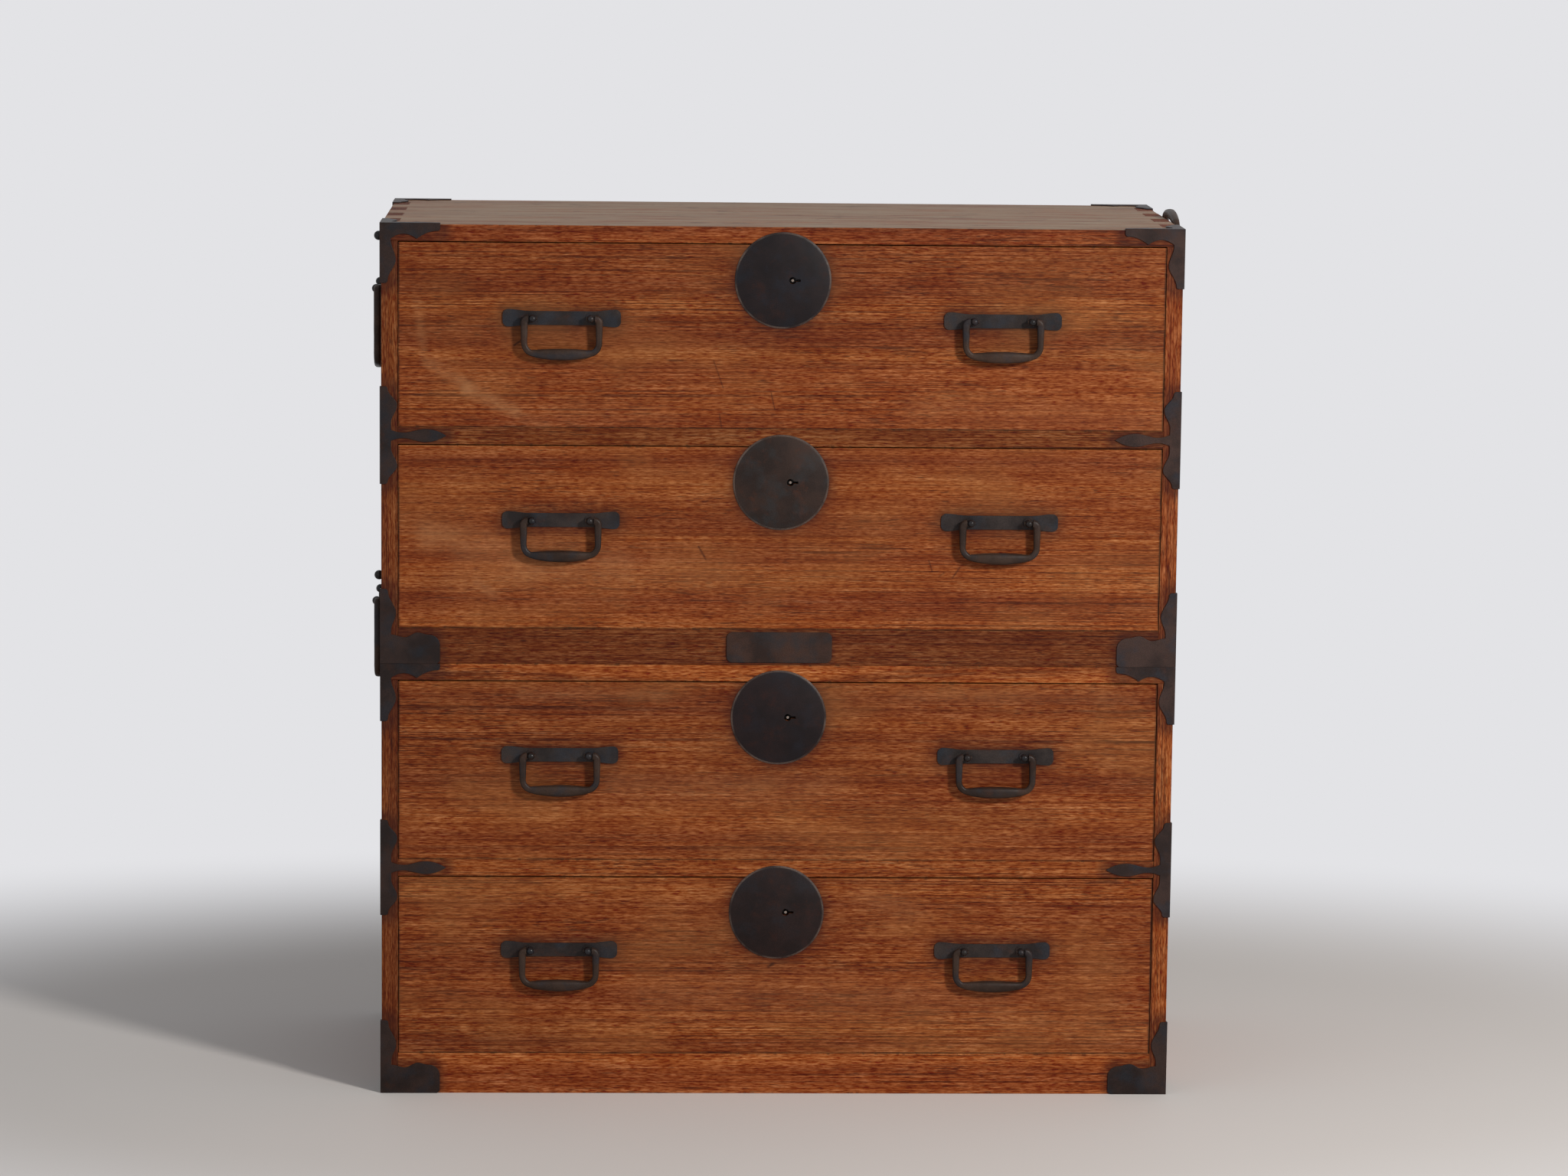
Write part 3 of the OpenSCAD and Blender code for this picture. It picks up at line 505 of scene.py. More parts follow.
def front_marks(t, place, shade):
    """What use has left on a drawer front.

    Painted shade along the gaps, stain round the fittings, haze, pale streaks, scratches, and
    broad darkening that is partly old dirt and red finish, partly painted shade.
    """
    low, high = (board_value(t, "board_" + end)["Vector"] for end in ("low", "high"))
    low, high = (t.vector("ABSOLUTE", t.vector("SUBTRACT", place, end)) for end in (low, high))
    beside = t.math("MINIMUM", t.split(low)[0], t.split(high)[0])
    near_gap = t.math("MINIMUM", t.split(low)[2], beside)
    # Painted shade: within about 2 mm of a front's lower and side edges the colour darkens, where
    # the gaps' shadow falls
    gap_shade_mask = t.remap(near_gap, 0.0004, 0.0022, 0.8, 0.0)
    uneven = t.remap(t.noise(place, 34.0, 2.0), 0.3, 0.6, 0.35, 1.0)
    shade = t.mix(t.times(gap_shade_mask, uneven), shade, GAP_SHADE)

    spots = [(0.0, z, 0.0, 0.0, LOCK_R, 0.014) for z in LOCK_Z]
    spots += [(x, z, PLATE_HALF, 0.0, PLATE_R, 0.020) for z in PULL_Z for x in (-PULL_X, PULL_X)]
    shade = stained(t, place, shade, spots, 1.6, 0.75)
    # A second, wider and fainter ring of stain
    spots = [(0.0, z, 0.0, 0.0, LOCK_R, 0.060) for z in LOCK_Z]
    shade = stained(t, place, shade, spots, 1.2, 0.26)

    scuff = t.noise(t.vector("MULTIPLY", place, (120.0, 120.0, 420.0)), detail=3.0, rough=0.7)
    cloud = t.noise(place, 42.0, 2.0)
    worn_through = t.times(
        t.remap(scuff, 0.30, 0.66, 0.55, 1.15), t.remap(cloud, 0.30, 0.65, 0.6, 1.15)
    )
    nick = t.remap(scuff, 0.3, 0.6, 0.6, 1.2)
    haze = t.noise(t.vector("MULTIPLY", place, (5.0, 5.0, 11.0)), detail=3.0, rough=0.55)
    haze = t.remap(haze, 0.46, 0.68, 0.0, 0.26)
    shade = t.mix(t.times(haze, t.between(cloud, 0.6, 1.2)), shade, HAZE)

    flat = t.vector("MULTIPLY", place, (1.0, 0.0, 1.0))
    kinds = (
        (PALE_MARKS, RUBBED, worn_through), (DARK_MARKS, SCRATCHED, nick),
        (SOFT_MARKS, OLD_FINISH_AND_SHADE, 1.0),
    )
    for marks, tint, broken in kinds:
        for x0, z0, x1, z1, width, strength in marks:
            start, end = (x0 * MM, 0.0, z0 * MM), (x1 * MM, 0.0, z1 * MM)
            mark = t.placed(RUBBED_STREAK, Place=flat, Start=start, End=end, Width=width * MM)
            share = t.times(mark["Mark"], broken)
            share = t.times(share, strength, clamp=True)
            shade = t.mix(share, shade, tint)
    return shade


# Spots round the corner irons on the front; x is counted from the chest's middle line
LEAF_SPOTS = [(0.405, z, 0.028, 0.0, 0.006, 0.010) for z in (0.75525, 0.2625)]
LOBE_SPOTS = [(0.417, z, 0.024, 0.010, 0.010, 0.012) for z in (0.0175, 0.5145)]
CAP_SPOTS = [(0.417, z, 0.030, 0.0, 0.010, 0.014) for z in (0.984, 0.488)]
UPRIGHT_SPOTS = [
    (0.445, z, 0.0, half, 0.012, 0.014)
    for z, half in (
        (0.960, 0.028), (0.755, 0.048), (0.540, 0.036),
        (0.463, 0.026), (0.2625, 0.048), (0.045, 0.034),
    )
]
RAIL_PLATE_SPOT = (0.0, 0.5175, 0.0525, 0.0105, 0.007, 0.006)


def from_middle(t, place):
    """The place on the front, the same for left and right."""
    x, _, z = t.split(place)
    return t.joined(t.math("ABSOLUTE", x), 0.0, z)


def at_the_front(t, place, shade, marked):
    """The marked colour on the front edges of boards, the plain one further back."""
    front = t.remap(t.split(place)[1], FRONT_Y + 0.001, FRONT_Y + 0.012, 1.0, 0.0)
    return t.mix(front, shade, marked)


def across_marks(t, place, shade):
    """Stain round the corner irons and the plate on the front edges of rails and top boards."""
    spots = LEAF_SPOTS + LOBE_SPOTS + CAP_SPOTS
    marked = stained(t, from_middle(t, place), shade, spots, 1.4, 0.8)
    marked = stained(t, place, marked, [RAIL_PLATE_SPOT], 1.2, 0.7)
    return at_the_front(t, place, shade, marked)


def upright_marks(t, place, shade):
    """Stain beside the irons on the front edges of the side boards."""
    marked = stained(t, from_middle(t, place), shade, UPRIGHT_SPOTS, 1.4, 0.8)
    return at_the_front(t, place, shade, marked)


def top_marks(t, place, shade):
    """The upper face is painted a pale beige: dust and fading, and a painted reflection, the pale
    sheen of a slanting view; the edges keep the finish.
    """
    marked = stained(t, from_middle(t, place), shade, CAP_SPOTS, 1.4, 0.8)
    shade = at_the_front(t, place, shade, marked)
    # Faces turned up are painted pale: dust and fading, together with a painted reflection
    up = t.remap(t.split(t.add("TexCoord").outputs["Normal"])[2], 0.5, 0.9)
    dust = t.noise(t.vector("MULTIPLY", place, (9.0, 70.0, 70.0)), detail=5.0, rough=0.7)
    sheen_and_dust = t.mix(t.remap(dust, 0.34, 0.62, 0.30, 0.92), shade, DUST_AND_SHEEN)
    blotch = t.remap(t.noise(place, 24.0, 4.0, 0.7), 0.56, 0.70, 0.0, 0.45)
    sheen_and_dust = t.mix(blotch, sheen_and_dust, BLOTCH)
    return t.mix(up, shade, sheen_and_dust)


def iron(name, base, pale, rust, blue, shine=0.16, rough=0.48, hammer=90.0, hammered=0.5,
         polish_and_highlight=None, bright=None):
    """Old sheet or forged iron.

    hammer is how close the hammer's blows lie, hammered how deep they are. The polish mask gives
    what is painted bright:
    what hands or keys have rubbed bright, and a painted highlight round the lock plates' rims.
    """
    material, t, shader = new_finish(name)
    place = t.add("TexCoord").outputs["Object"]
    seed = board_value(t, "board_seed")["Fac"]
    skin = t.placed(OLD_IRON, Place=place, Hammer=hammer, Seed=seed)
    shade = t.mix(t.remap(skin["Clouds"], 0.35, 0.65), base, pale)
    shade = t.mix(t.times(skin["Rust"], 0.5), shade, rust)
    shade = t.mix(t.times(skin["Blue"], 0.55), shade, blue)
    # Each piece's own tint, which on the irons of the left side paints shade
    shade = t.mix(1.0, shade, board_value(t, "iron_tint_and_shade")["Vector"], "MULTIPLY")
    grit = t.remap(skin["Speckle"], 0.3, 0.7, 0.66, 1.34, "LINEAR")
    shade = t.mix(1.0, shade, t.grey(grit), "MULTIPLY")
    gloss = t.between(skin["Clouds"], rough - 0.12, rough + 0.12)
    gloss = t.plus(gloss, t.times(skin["Rust"], 0.12))
    # The mask is painted bright: polish on the key pin, a painted highlight on the lock plates'
    # rims
    if polish_and_highlight:
        rubbed = polish_and_highlight(t, place)
        mask = t.times(rubbed, t.remap(skin["Speckle"], 0.3, 0.6, 0.5, 1.0))
        shade = t.mix(mask, shade, bright)
        gloss = t.between(mask, gloss, 0.28)
    t.feed(shader.inputs["Base Color"], shade)
    t.feed(shader.inputs["Roughness"], gloss)
    shader.inputs["Specular IOR Level"].default_value = shine
    height = t.times(skin["Hammered"], hammered)
    height = t.plus(height, t.times(skin["Speckle"], 0.10))
    bump = t.add("Bump", {"Height": height, "Strength": 0.5, "Distance": 0.0006})
    t.feed(shader.inputs["Normal"], bump.outputs[0])
    return material


def rim_highlight_and_polish(t, place):
    """The round plates' bevelled rims, painted pale all round as a highlight of the bevel, and
    glossier.
    """
    low, high = (board_value(t, "board_" + end)["Vector"] for end in ("low", "high"))
    centre = t.scaled(t.vector("ADD", low, high), 0.5)
    out = t.vector("MULTIPLY", t.vector("SUBTRACT", place, centre), (1.0, 0.0, 1.0))
    rim = t.remap(t.vector("LENGTH", out, out=1), LOCK_R - 0.0025, LOCK_R - 0.0013)
    return t.times(rim, t.remap(t.noise(place, 40.0, 3.0), 0.35, 0.65, 0.1, 0.8))


def key_pin_tip(t, place):
    """The end of the pin that a key slides over, which stands clear of the front."""
    return t.remap(t.minus(FRONT_Y, t.split(place)[1]), -0.0004, 0.0002)


FRONT = dict(
    early=colour(146, 78, 35), late=colour(58, 19, 8), red=colour(120, 57, 25),
    worn=colour(160, 102, 58)
)
FRONT_WOOD = wood("drawer_front_wood", "X", extra=front_marks, **FRONT)
ACROSS_WOOD = wood("case_wood_across", "X", extra=across_marks, **FRONT)
UPRIGHT_WOOD = wood("case_wood_upright", "Z", extra=upright_marks, **FRONT)
TOP_WOOD = wood("top_board_wood", "X", extra=top_marks, rough=0.58, **FRONT)
INSIDE = dict(
    early=colour(196, 160, 116), late=colour(142, 100, 62), red=colour(178, 138, 94),
    worn=colour(206, 176, 136), shine=0.1, rough=0.68, line=0.6, pitch=0.0042, figure=0.4
)
INSIDE_ACROSS = wood("inside_wood_across", "X", **INSIDE)
INSIDE_LENGTH = wood("inside_wood_lengthwise", "Y", **INSIDE)
BACK_WOOD = wood(
    "back_board_wood", "X", early=colour(150, 112, 76), late=colour(96, 64, 40),
    red=colour(128, 90, 58), worn=colour(170, 136, 98), shine=0.1, rough=0.75, line=0.55,
    pitch=0.005, figure=0.55
)

IRON = dict(rust=colour(64, 38, 28), blue=colour(36, 42, 50))
CORNER_IRON = iron("corner_iron", colour(39, 28, 25), colour(60, 44, 39), **IRON)
# The lock plates' rims are painted pale all round, a painted highlight of their bevel
LOCK_IRON = iron(
    "lock_plate_iron", colour(30, 24, 24), colour(42, 33, 32), hammer=60.0, hammered=0.25,
    polish_and_highlight=rim_highlight_and_polish, bright=colour(100, 84, 75), **IRON
)
PULL_IRON = iron(
    "pull_iron", colour(44, 31, 24), colour(64, 48, 39), rough=0.45, hammer=160.0, **IRON
)
PLATE_IRON = iron("pull_plate_iron", colour(32, 26, 25), colour(50, 42, 39), hammer=140.0, **IRON)
HEAD_IRON = iron(
    "post_head_iron", colour(26, 22, 21), colour(38, 32, 30), rough=0.24, shine=0.2,
    hammered=0.12, **IRON
)
WORKS_IRON = iron(
    "lock_works_iron", colour(78, 68, 62), colour(110, 100, 92), rough=0.4, shine=0.5,
    polish_and_highlight=key_pin_tip, bright=colour(132, 118, 108), **IRON
)


# ---- Pieces made from the construction's own solids ----

WELD = 2e-6  # points closer than this are one
FLAT_ANGLE = math.radians(0.5)  # triangles that differ by less are one face
EDGE_ANGLE = math.radians(32)  # edges sharper than this are eased

# How far the edges of each kind of piece are eased
CASE_EDGE = 0.9 * MM
RAIL_EDGE = 0.8 * MM
BACK_EDGE = 0.7 * MM
INNER_EDGE = 0.6 * MM
FLOOR_EDGE = 0.5 * MM
IRON_EDGE = 0.4 * MM
DISC_EDGE = 0.25 * MM
WORKS_EDGE = 0.2 * MM

seeds = iter(range(1, 1000))


def new_piece(name, mesh, body, material):
    """A visible piece that rides a body."""
    obj = bpy.data.objects.new(name, mesh)
    bpy.context.scene.collection.objects.link(obj)
    mesh.materials.append(material)
    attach(obj, body)
    obj["board_seed"] = next(seeds) * 0.731
    obj["iron_tint_and_shade"] = [1.0, 1.0, 1.0]
    return obj


def solids_of(node, fin_z=None):
    """A node's separate solids as (points, faces), sorted by x, then z, then y.

    Their triangles are joined into flat faces. fin_z is the level down to which a paper-thin
    fin is folded that stands over the hindmost finger.
    """
    whole = bmesh.new()
    whole.from_mesh(NODES[node].data)
    for v in whole.verts if fin_z else ():
        if v.co.y > BACK_FINGER_Y and v.co.z > fin_z:
            v.co.z = fin_z
    bmesh.ops.remove_doubles(whole, verts=whole.verts, dist=WELD)
    bmesh.ops.dissolve_degenerate(whole, dist=WELD, edges=whole.edges)
    bmesh.ops.dissolve_limit(
        whole, angle_limit=FLAT_ANGLE, verts=whole.verts, edges=whole.edges
    )
    left = set(whole.verts)
    found = []
    while left:
        group, reach = set(), [next(iter(left))]
        while reach:
            v = reach.pop()
            if v in group:
                continue
            group.add(v)
            reach.extend(e.other_vert(v) for e in v.link_edges)
        left -= group
        ordered = sorted(group, key=lambda v: v.index)
        number = {v: k for k, v in enumerate(ordered)}
        faces = [[number[v] for v in f.verts] for f in whole.faces if f.verts[0] in group]
        found.append(([v.co.copy() for v in ordered], faces))
    whole.free()

    def middle(solid):
        points = solid[0]
        return [round(sum(v[k] for v in points) / len(points), 3) for k in (0, 2, 1)]

    return sorted(found, key=middle)


def ease(obj, width):
    """Takes the sharpness off a piece's edges."""
    edge = obj.modifiers.new("eased_edges", "BEVEL")
    edge.width = width
    edge.segments = 2
    edge.limit_method = "ANGLE"
    edge.angle_limit = EDGE_ANGLE
    edge.harden_normals = True
    obj.data.shade_smooth()


def from_solids(node, names, body, material, slot, width, pith=(0.0, 0.0, -0.4), tone=1.0,
                seam=-1.0, lower_tone=1.0, fin_z=None):
    """Puts named pieces with eased edges in place of a node's solids.

    pith is where the middle of the trunk lies, seam the height of a glue seam between a board
    of one tone and a lower board of another.
    """
    solids = solids_of(node, fin_z)
    if len(solids) != len(names):
        raise ValueError(f"{node} has {len(solids)} solids, not {len(names)}")
    pieces = []
    for name, (points, faces) in zip(names, solids):
        mesh = bpy.data.meshes.new(name)
        mesh.from_pydata(points, [], faces)
        mesh.validate()
        obj = new_piece(name, mesh, body, material)
        low = Vector(min(p[k] for p in points) for k in range(3))
        high = Vector(max(p[k] for p in points) for k in range(3))
        obj["board_low"] = list(low)
        obj["board_high"] = list(high)
        obj["board_pith"] = [0.0, pith[1], pith[2]]
        obj["board_tone"] = tone
        obj["lower_tone"] = lower_tone
        obj["board_seam"] = seam
        ease(obj, width)
        pieces.append(obj)
    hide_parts(node)
    return pieces


def round_heads(pieces):
    """Gives the posts' heads, which stand clear of the wood, their smoother skin."""
    for obj in pieces:
        obj.data.materials.append(HEAD_IRON)
        for face in obj.data.polygons:
            x, y = face.center[:2]
            if max(abs(x) - SIDE_X, FRONT_Y - y) > HEAD_FROM:
                face.material_index = 1


# ---- Cases ----

# Painted shade: the left side boards are darker, as the key lamp stands to the right
LEFT_SIDE_SHADE = 0.62
# Irons painted darker: on the left this is painted shade, away from the key lamp; the right feet
# are darker as well
IRON_DARKENING = {"left": 0.62, "right": 0.95, "right foot": 0.70}
RAIL_PLATE_TINT = [0.95, 0.82, 0.70]


def darken_irons(pieces):
    """Darker irons: on the left as painted shade, away from the key lamp, and at the right feet.
    """
    for obj in pieces:
        x, _, z = obj["board_low"]
        where = "left" if x < 0 else "right foot" if z < 0.01 else "right"
        obj["iron_tint_and_shade"] = [IRON_DARKENING[where]] * 3


def make_case(case, top, top_wood, rail_tones_and_shade):
    """The boards and irons of one case. top is its upper face; the last argument gives the base
    and middle rails their tones, which also paint shade.
    """
    left_side, _ = from_solids(
        case + "_sides", [case + "_side_left", case + "_side_right"], case, UPRIGHT_WOOD,
        "case_wood", CASE_EDGE, pith=(0.0, 0.06, 0.7), fin_z=top - TOP_BOARD
    )
    left_side["board_tone"] = LEFT_SIDE_SHADE
    from_solids(
        case + "_top", [case + "_top_board"], case, top_wood, "case_wood", CASE_EDGE,
        pith=(0.0, 0.5, 0.4)
    )
    rails = from_solids(
        case + "_rails", [case + "_base_rail", case + "_middle_rail"], case, ACROSS_WOOD,
        "case_wood", RAIL_EDGE
    )
    for rail, tone in zip(rails, rail_tones_and_shade):
        rail["board_tone"] = tone
    from_solids(
        case + "_dust_board", [case + "_dust_panel"], case, INSIDE_ACROSS, "inner_wood", INNER_EDGE
    )
    boards = [f"{case}_back_board_{k}" for k in (1, 2, 3)]
    from_solids(case + "_back", boards, case, BACK_WOOD, "back_wood", BACK_EDGE)
    irons = [f"{case}_iron_{k}" for k in range(1, 11)]
    darken_irons(from_solids(case + "_irons", irons, case, CORNER_IRON, "iron", IRON_EDGE))


# The rails' tones: partly the boards' own, partly painted shade that makes the upper case's rails
# much darker
make_case("lower_case", JOINT_Z, ACROSS_WOOD, (1.13, 0.9))
make_case("upper_case", TOP_Z, TOP_WOOD, (0.56, 0.58))
for case in ("upper_case", "lower_case"):
    from_solids(
        case + "_bottom", [case + "_floor"], case, INSIDE_ACROSS, "inner_wood", INNER_EDGE
    )
rail_plate, = from_solids(
    "rail_plate", ["base_rail_plate"], "upper_case", CORNER_IRON, "iron", 0.5 * MM
)
rail_plate["iron_tint_and_shade"] = RAIL_PLATE_TINT
round_heads(from_solids(
    "side_handle_fittings", [f"side_fitting_{k}" for k in range(1, 9)], "upper_case",
    PLATE_IRON, "iron", IRON_EDGE
))

# ---- Drawers ----

# Of each drawer, from the top one down
SEAM_Z = [0.834, 0.6365, 0.352, 0.139]  # glue seams of the fronts
# The fronts' tones: the boards' own, with painted shade that darkens each upper board
FRONT_TONE_AND_SHADE = [(0.86, 0.99), (0.90, 0.97), (0.83, 0.90), (0.89, 0.95)]  # above and below the seam
# The second lock plate is worn brown
DISC_TINT = [[0.54, 0.50, 0.54], [1.32, 1.08, 0.82], [0.54, 0.42, 0.44], [0.68, 0.52, 0.48]]
PULL_TINT = [0.9, 0.76, 0.76, 0.76]


def make_drawer(body, seam, tones, disc_tint):
    """The boards of one drawer, its lock and the fittings of its pulls."""
    def one(node, name, material, slot, width, rides=body, **more):
        names = [f"{body}_{name}"]
        return from_solids(f"{body}_{node}", names, rides, material, slot, width, **more)[0]

    one(
        "front", "face", FRONT_WOOD, "case_wood", CASE_EDGE, seam=seam, tone=tones[0],
        lower_tone=tones[1]
    )
    from_solids(
        body + "_sides", [body + "_side_left", body + "_side_right"], body, INSIDE_LENGTH,
        "inner_wood", INNER_EDGE
    )
    one("back", "back_board", INSIDE_ACROSS, "inner_wood", INNER_EDGE)
    one("bottom", "floor", INSIDE_ACROSS, "inner_wood", FLOOR_EDGE)
    one("lock_plate", "lock_disc", LOCK_IRON, "iron", DISC_EDGE)["iron_tint_and_shade"] = disc_tint
    one("lock_case", "lock_works", WORKS_IRON, "iron", WORKS_EDGE)
    one("lock_bolt", "bolt", WORKS_IRON, "iron", IRON_EDGE, rides=body + "_bolt")
    plates = [body + "_pull_plate_left", body + "_pull_plate_right"]
    round_heads(from_solids(body + "_pull_fittings", plates, body, PLATE_IRON, "iron", IRON_EDGE))


for d, look in enumerate(zip(SEAM_Z, FRONT_TONE_AND_SHADE, DISC_TINT), 1):
    make_drawer(f"drawer_{d}", *look)

# ---- Pulls and handles ----

ROD_SIDES = 20
PIN_SIDES = 14
ROD_SHARP = math.radians(50)  # edges sharper than this stay sharp to the eye
FLATTENED = (0.98, 0.93)  # a rod's size in its own plane and across it, of the full radius
FORGED = 0.12  # unevenness of the rods, in millimetres


def rod_line(shoulder, bend, low_bend, length, top_r, low_r, grip_r, sag):
    """Centreline of a hanging pull in its own plane, in millimetres: (x, z, radius).

    It goes from one shoulder to the other: bend and low_bend are the radii of its corners,
    length is how far it hangs, sag how far the grip bows down.
    """
    grip_x = shoulder + bend - low_bend
    grip_z = grip_r + sag - length
    end_r = low_r + (grip_r - low_r) / 4
    half = []
    for k in range(10):
        a = math.radians(90 - 10 * k)
        half.append((shoulder + bend * math.cos(a), bend * math.sin(a) - bend, top_r))
    arm_x, arm_top, arm_end = shoulder + bend, -bend, grip_z + low_bend
    for k in range(1, 8):
        q = k / 8
        half.append((arm_x, arm_top + (arm_end - arm_top) * q, top_r + (low_r - top_r) * q))
    for k in range(8):
        a = math.radians(-10 * k)
        z = grip_z + low_bend + low_bend * math.sin(a)
        half.append((grip_x + low_bend * math.cos(a), z, low_r))
    for k in range(1, 15):
        q = k / 14
        crown = 1 - (1 - q) ** 2
        half.append((grip_x * (1 - q), grip_z - sag * crown, end_r + (grip_r - end_r) * crown))
    return half + [(-x, z, r) for x, z, r in reversed(half[:-1])]


def swept_rod(name, line, pins, turn, seed):
    """A forged rod along a line, with flattened flanks, and the pins that it turns on.

    pins gives how far out they begin and end, and their radius.
    """
    bm = bmesh.new()
    rings = []
    for i, (x, z, r) in enumerate(line):
        before, after = line[max(i - 1, 0)], line[min(i + 1, len(line) - 1)]
        along = Vector((after[0] - before[0], 0, after[1] - before[1])).normalized()
        out = Vector((-along.z, 0, along.x))
        ring = []
        for k in range(ROD_SIDES):
            a = 2 * math.pi * k / ROD_SIDES
            c, s = math.cos(a), math.sin(a)
            flat = (abs(c) ** 3 + abs(s) ** 3) ** (-1 / 3)
            round_out = out * c * FLATTENED[0] + Vector((0, s * FLATTENED[1], 0))
            p = Vector((x, 0, z)) + round_out * r * flat
            uneven = noise.noise(p * 0.18 + Vector((seed, 0, 0))) - 0.4
            p += (out * c + Vector((0, s, 0))) * FORGED * uneven
            ring.append(bm.verts.new(p))
        rings.append(ring)
    for a, b in zip(rings, rings[1:]):
        for k in range(ROD_SIDES):
            following = (k + 1) % ROD_SIDES
            bm.faces.new((a[k], a[following], b[following], b[k]))
    # Both ends close over a smaller ring, which rounds them off
    for ring, flip in ((rings[0], False), (rings[-1], True)):
        centre = sum((v.co for v in ring), Vector()) / ROD_SIDES
        inner = [bm.verts.new(centre + (v.co - centre) * 0.72) for v in ring]
        for k in range(ROD_SIDES):
            following = (k + 1) % ROD_SIDES
            quad = (ring[k], inner[k], inner[following], ring[following])
            bm.faces.new(quad if flip else quad[::-1])
        bm.faces.new(inner if flip else inner[::-1])
    pin_from, pin_to, pin_r = pins
    for side in (-1, 1):
        place = Matrix.Translation((side * (pin_from + pin_to) / 2, 0, 0))
        place = place @ Matrix.Rotation(math.pi / 2, 4, "Y")
        bmesh.ops.create_cone(
            bm, cap_ends=True, segments=PIN_SIDES, radius1=pin_r, radius2=pin_r,
            depth=pin_to - pin_from, matrix=place
        )
    bmesh.ops.recalc_face_normals(bm, faces=bm.faces)
    bm.transform(turn @ Matrix.Scale(MM, 4))
    mesh = bpy.data.meshes.new(name)
    bm.to_mesh(mesh)
    bm.free()
    mesh.shade_smooth()
    mesh.set_sharp_from_angle(angle=ROD_SHARP)
    return mesh


def make_bail(node, line, pins, place, seed):
    """A pull or handle in place of its node."""
    mesh = swept_rod(node, line, pins, place, seed)
    bail = new_piece(node + "_bail", mesh, node, PULL_IRON)
    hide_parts(node)
    return bail


PULL_LINE = rod_line(37.2, 4.6, 12.0, 46.8, 4.3, 3.6, 6.7, 0.8)
PULL_PINS = (27.4, 38.2, 2.1)
for d, (z, tint) in enumerate(zip(PULL_Z, PULL_TINT), 1):
    for side, x in (("left", -PULL_X), ("right", PULL_X)):
        place = Matrix.Translation((x, FRONT_Y - PULL_REACH, z))
        bail = make_bail(f"drawer_{d}_pull_{side}", PULL_LINE, PULL_PINS, place, d + x)
        bail["iron_tint_and_shade"] = [tint] * 3

HANDLE_LINE = rod_line(53.5, 4.7, 14.0, 95.0, 4.4, 4.4, 5.4, 5.0)
HANDLE_PINS = (42.0, 54.5, 2.1)
# Side, height of the pivots, and how far it is stored raised
HANDLES = {
    "upper_left": (-1, 0.9075, 0.0), "upper_right": (1, 0.9075, 182.0),
    "lower_left": (-1, 0.546, 0.0), "lower_right": (1, 0.546, 0.0),
}
for name, (side, z, lift) in HANDLES.items():
    pivot = Matrix.Translation((side * (SIDE_X + SIDE_REACH), 0, z))
    raised = Matrix.Rotation(math.radians(-side * lift), 4, "Y")
    along_side = Matrix.Rotation(math.pi / 2, 4, "Z")
    place = pivot @ raised @ along_side
    make_bail("side_handle_" + name, HANDLE_LINE, HANDLE_PINS, place, z)

# ---- Floor, lamps and camera ----

MIDDLE = (0.0, -0.2, 0.5)
STUDIO = colour(227, 227, 230)
ROOM_LIGHT = (0.30, 0.31, 0.325, 1.0)
FLOOR_HALF = 30


def lamp(name, place, size, power, tint):
    """A round soft lamp turned to the chest's middle."""
    data = bpy.data.lights.new(name, "AREA")
    data.shape = "DISK"
    data.size = size
    data.energy = power
    data.color = tint
    obj = bpy.data.objects.new(name, data)
    bpy.context.scene.collection.objects.link(obj)
    away = (Vector(place) - Vector(MIDDLE)).normalized()
    turned = away.to_track_quat("Z", "Y").to_matrix().to_4x4()
    obj.matrix_world = Matrix.Translation(place) @ turned


lamp("key_lamp", (2.42, -3.05, 2.27), 0.6, 132.0, (1.0, 0.985, 0.96))
lamp("left_fill", (-2.6, -2.6, 1.6), 2.2, 7.5, (0.96, 0.98, 1.0))


def seen_only(t):
    """1 for rays that show a surface, 0 for rays that light another."""
    path = t.add("LightPath").outputs
    glossy = t.math("MAXIMUM", path["Is Glossy Ray"], path["Is Transmission Ray"])
    return t.math("MAXIMUM", path["Is Camera Ray"], glossy)


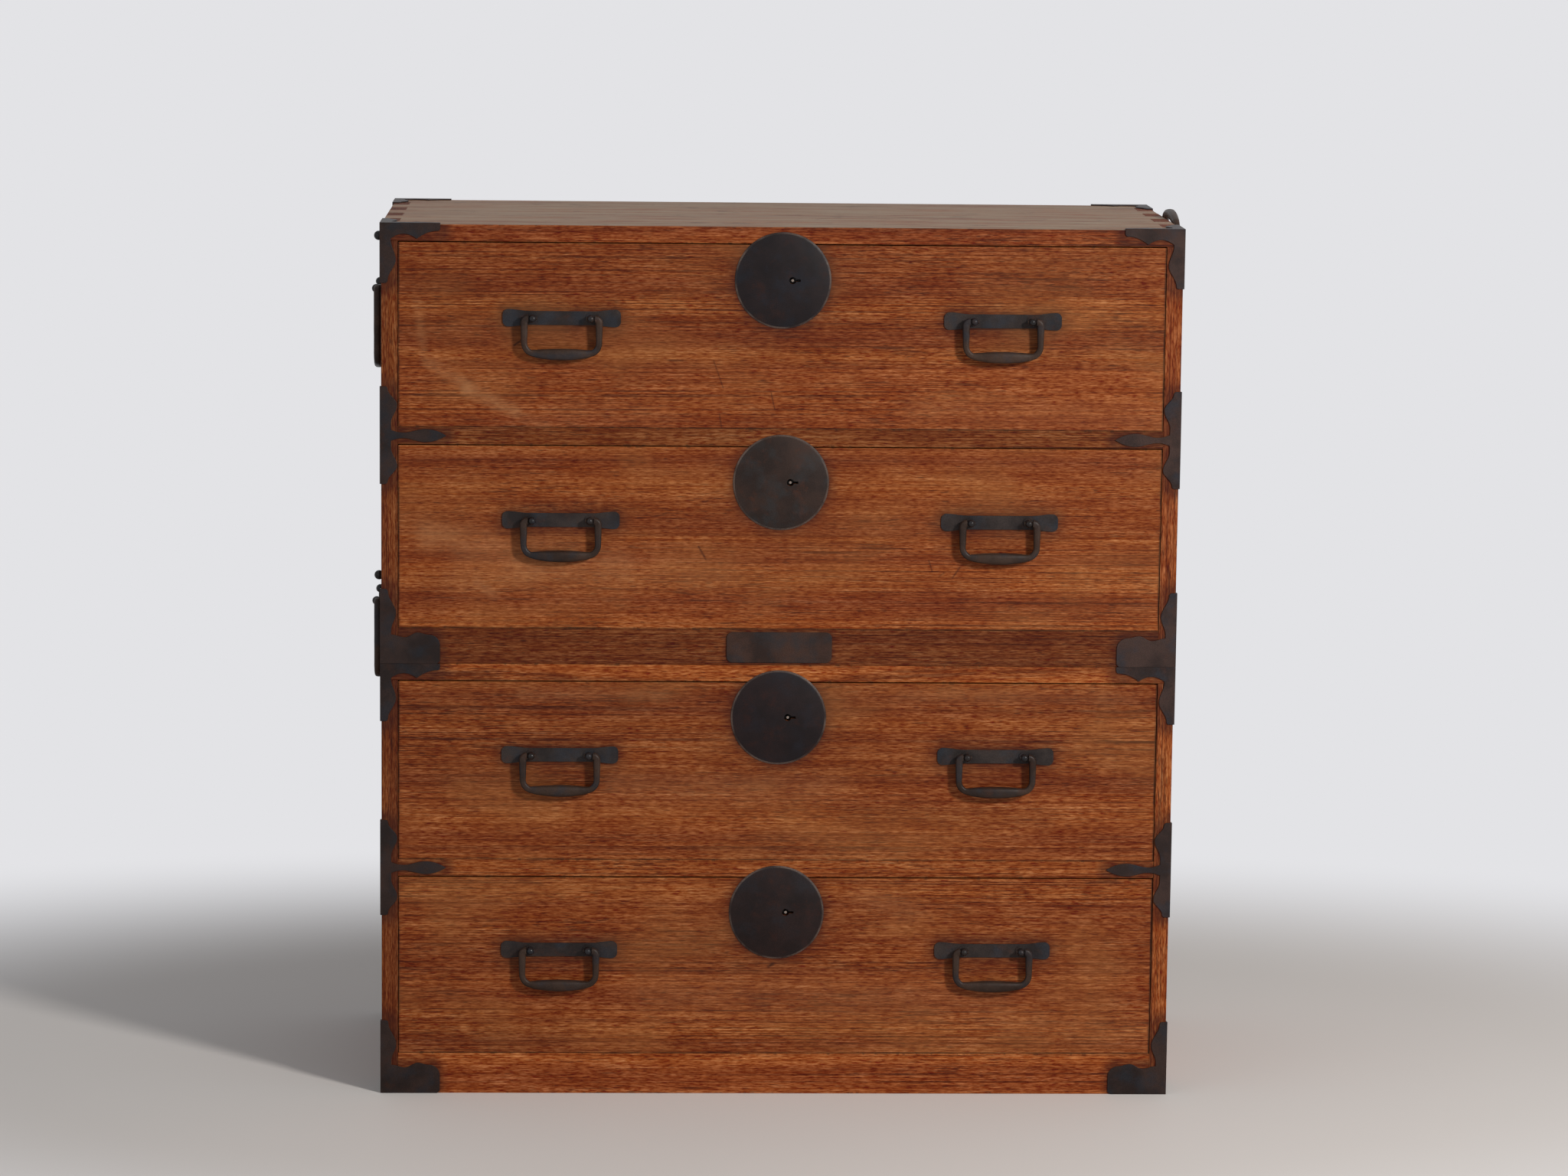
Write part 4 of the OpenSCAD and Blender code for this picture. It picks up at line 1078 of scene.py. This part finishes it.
ground = bpy.data.meshes.new("floor")
corners = [(x * FLOOR_HALF, y * FLOOR_HALF, 0) for x, y in ((-1, -1), (1, -1), (1, 1), (-1, 1))]
ground.from_pydata(corners, [], [(0, 1, 2, 3)])
floor = bpy.data.objects.new("floor", ground)
bpy.context.scene.collection.objects.link(floor)
paint, t, shader = new_finish("pale_floor")
spot = t.add("TexCoord").outputs["Object"]
drift = t.noise(spot, 0.8, 4.0)
t.feed(shader.inputs["Base Color"], t.mix(drift, colour(216, 209, 203), colour(226, 220, 215)))
shader.inputs["Roughness"].default_value = 0.75
shader.inputs["Specular IOR Level"].default_value = 0.2
# Further off the floor rises into the pale studio wall
distance = t.vector("LENGTH", t.vector("MULTIPLY", spot, (0.6, 1.0, 1.0)), out=1)
far = t.remap(distance, 0.55, 1.25)
glow = t.add("Emission", {"Color": STUDIO})
blend = t.add("MixShader")
t.feed(blend.inputs[0], t.times(far, seen_only(t)))
t.feed(blend.inputs[1], shader.outputs[0])
t.feed(blend.inputs[2], glow.outputs[0])
t.feed(paint.node_tree.nodes["Material Output"].inputs["Surface"], blend.outputs[0])
ground.materials.append(paint)

world = bpy.data.worlds.new("studio")
bpy.context.scene.world = world
world.use_nodes = True
t = Tree(world.node_tree)
background = world.node_tree.nodes["Background"]
t.feed(background.inputs["Color"], t.mix(seen_only(t), ROOM_LIGHT, STUDIO))

# The camera stands where the photo was taken from
camera_data = bpy.data.cameras.new("camera")
camera_data.sensor_width = 36.0
camera_data.lens = 111.66
camera = bpy.data.objects.new("camera", camera_data)
bpy.context.scene.collection.objects.link(camera)
pitch, yaw, roll = math.radians(8.44), math.radians(2.16), math.radians(0.64)
level_ahead = Vector((math.sin(yaw), math.cos(yaw), 0.0))
ahead = level_ahead * math.cos(pitch) - Vector((0.0, 0.0, math.sin(pitch)))
level = Vector((math.cos(yaw), -math.sin(yaw), 0.0))
upward = level.cross(ahead)
right = level * math.cos(roll) + upward * math.sin(roll)
up = upward * math.cos(roll) - level * math.sin(roll)
stand = Matrix.Translation((-0.1998, -5.6197, 1.3905))
camera.matrix_world = stand @ Matrix((right, up, -ahead)).transposed().to_4x4()
bpy.context.scene.camera = camera
bpy.context.scene.view_settings.view_transform = "Standard"

bpy.context.view_layer.update()
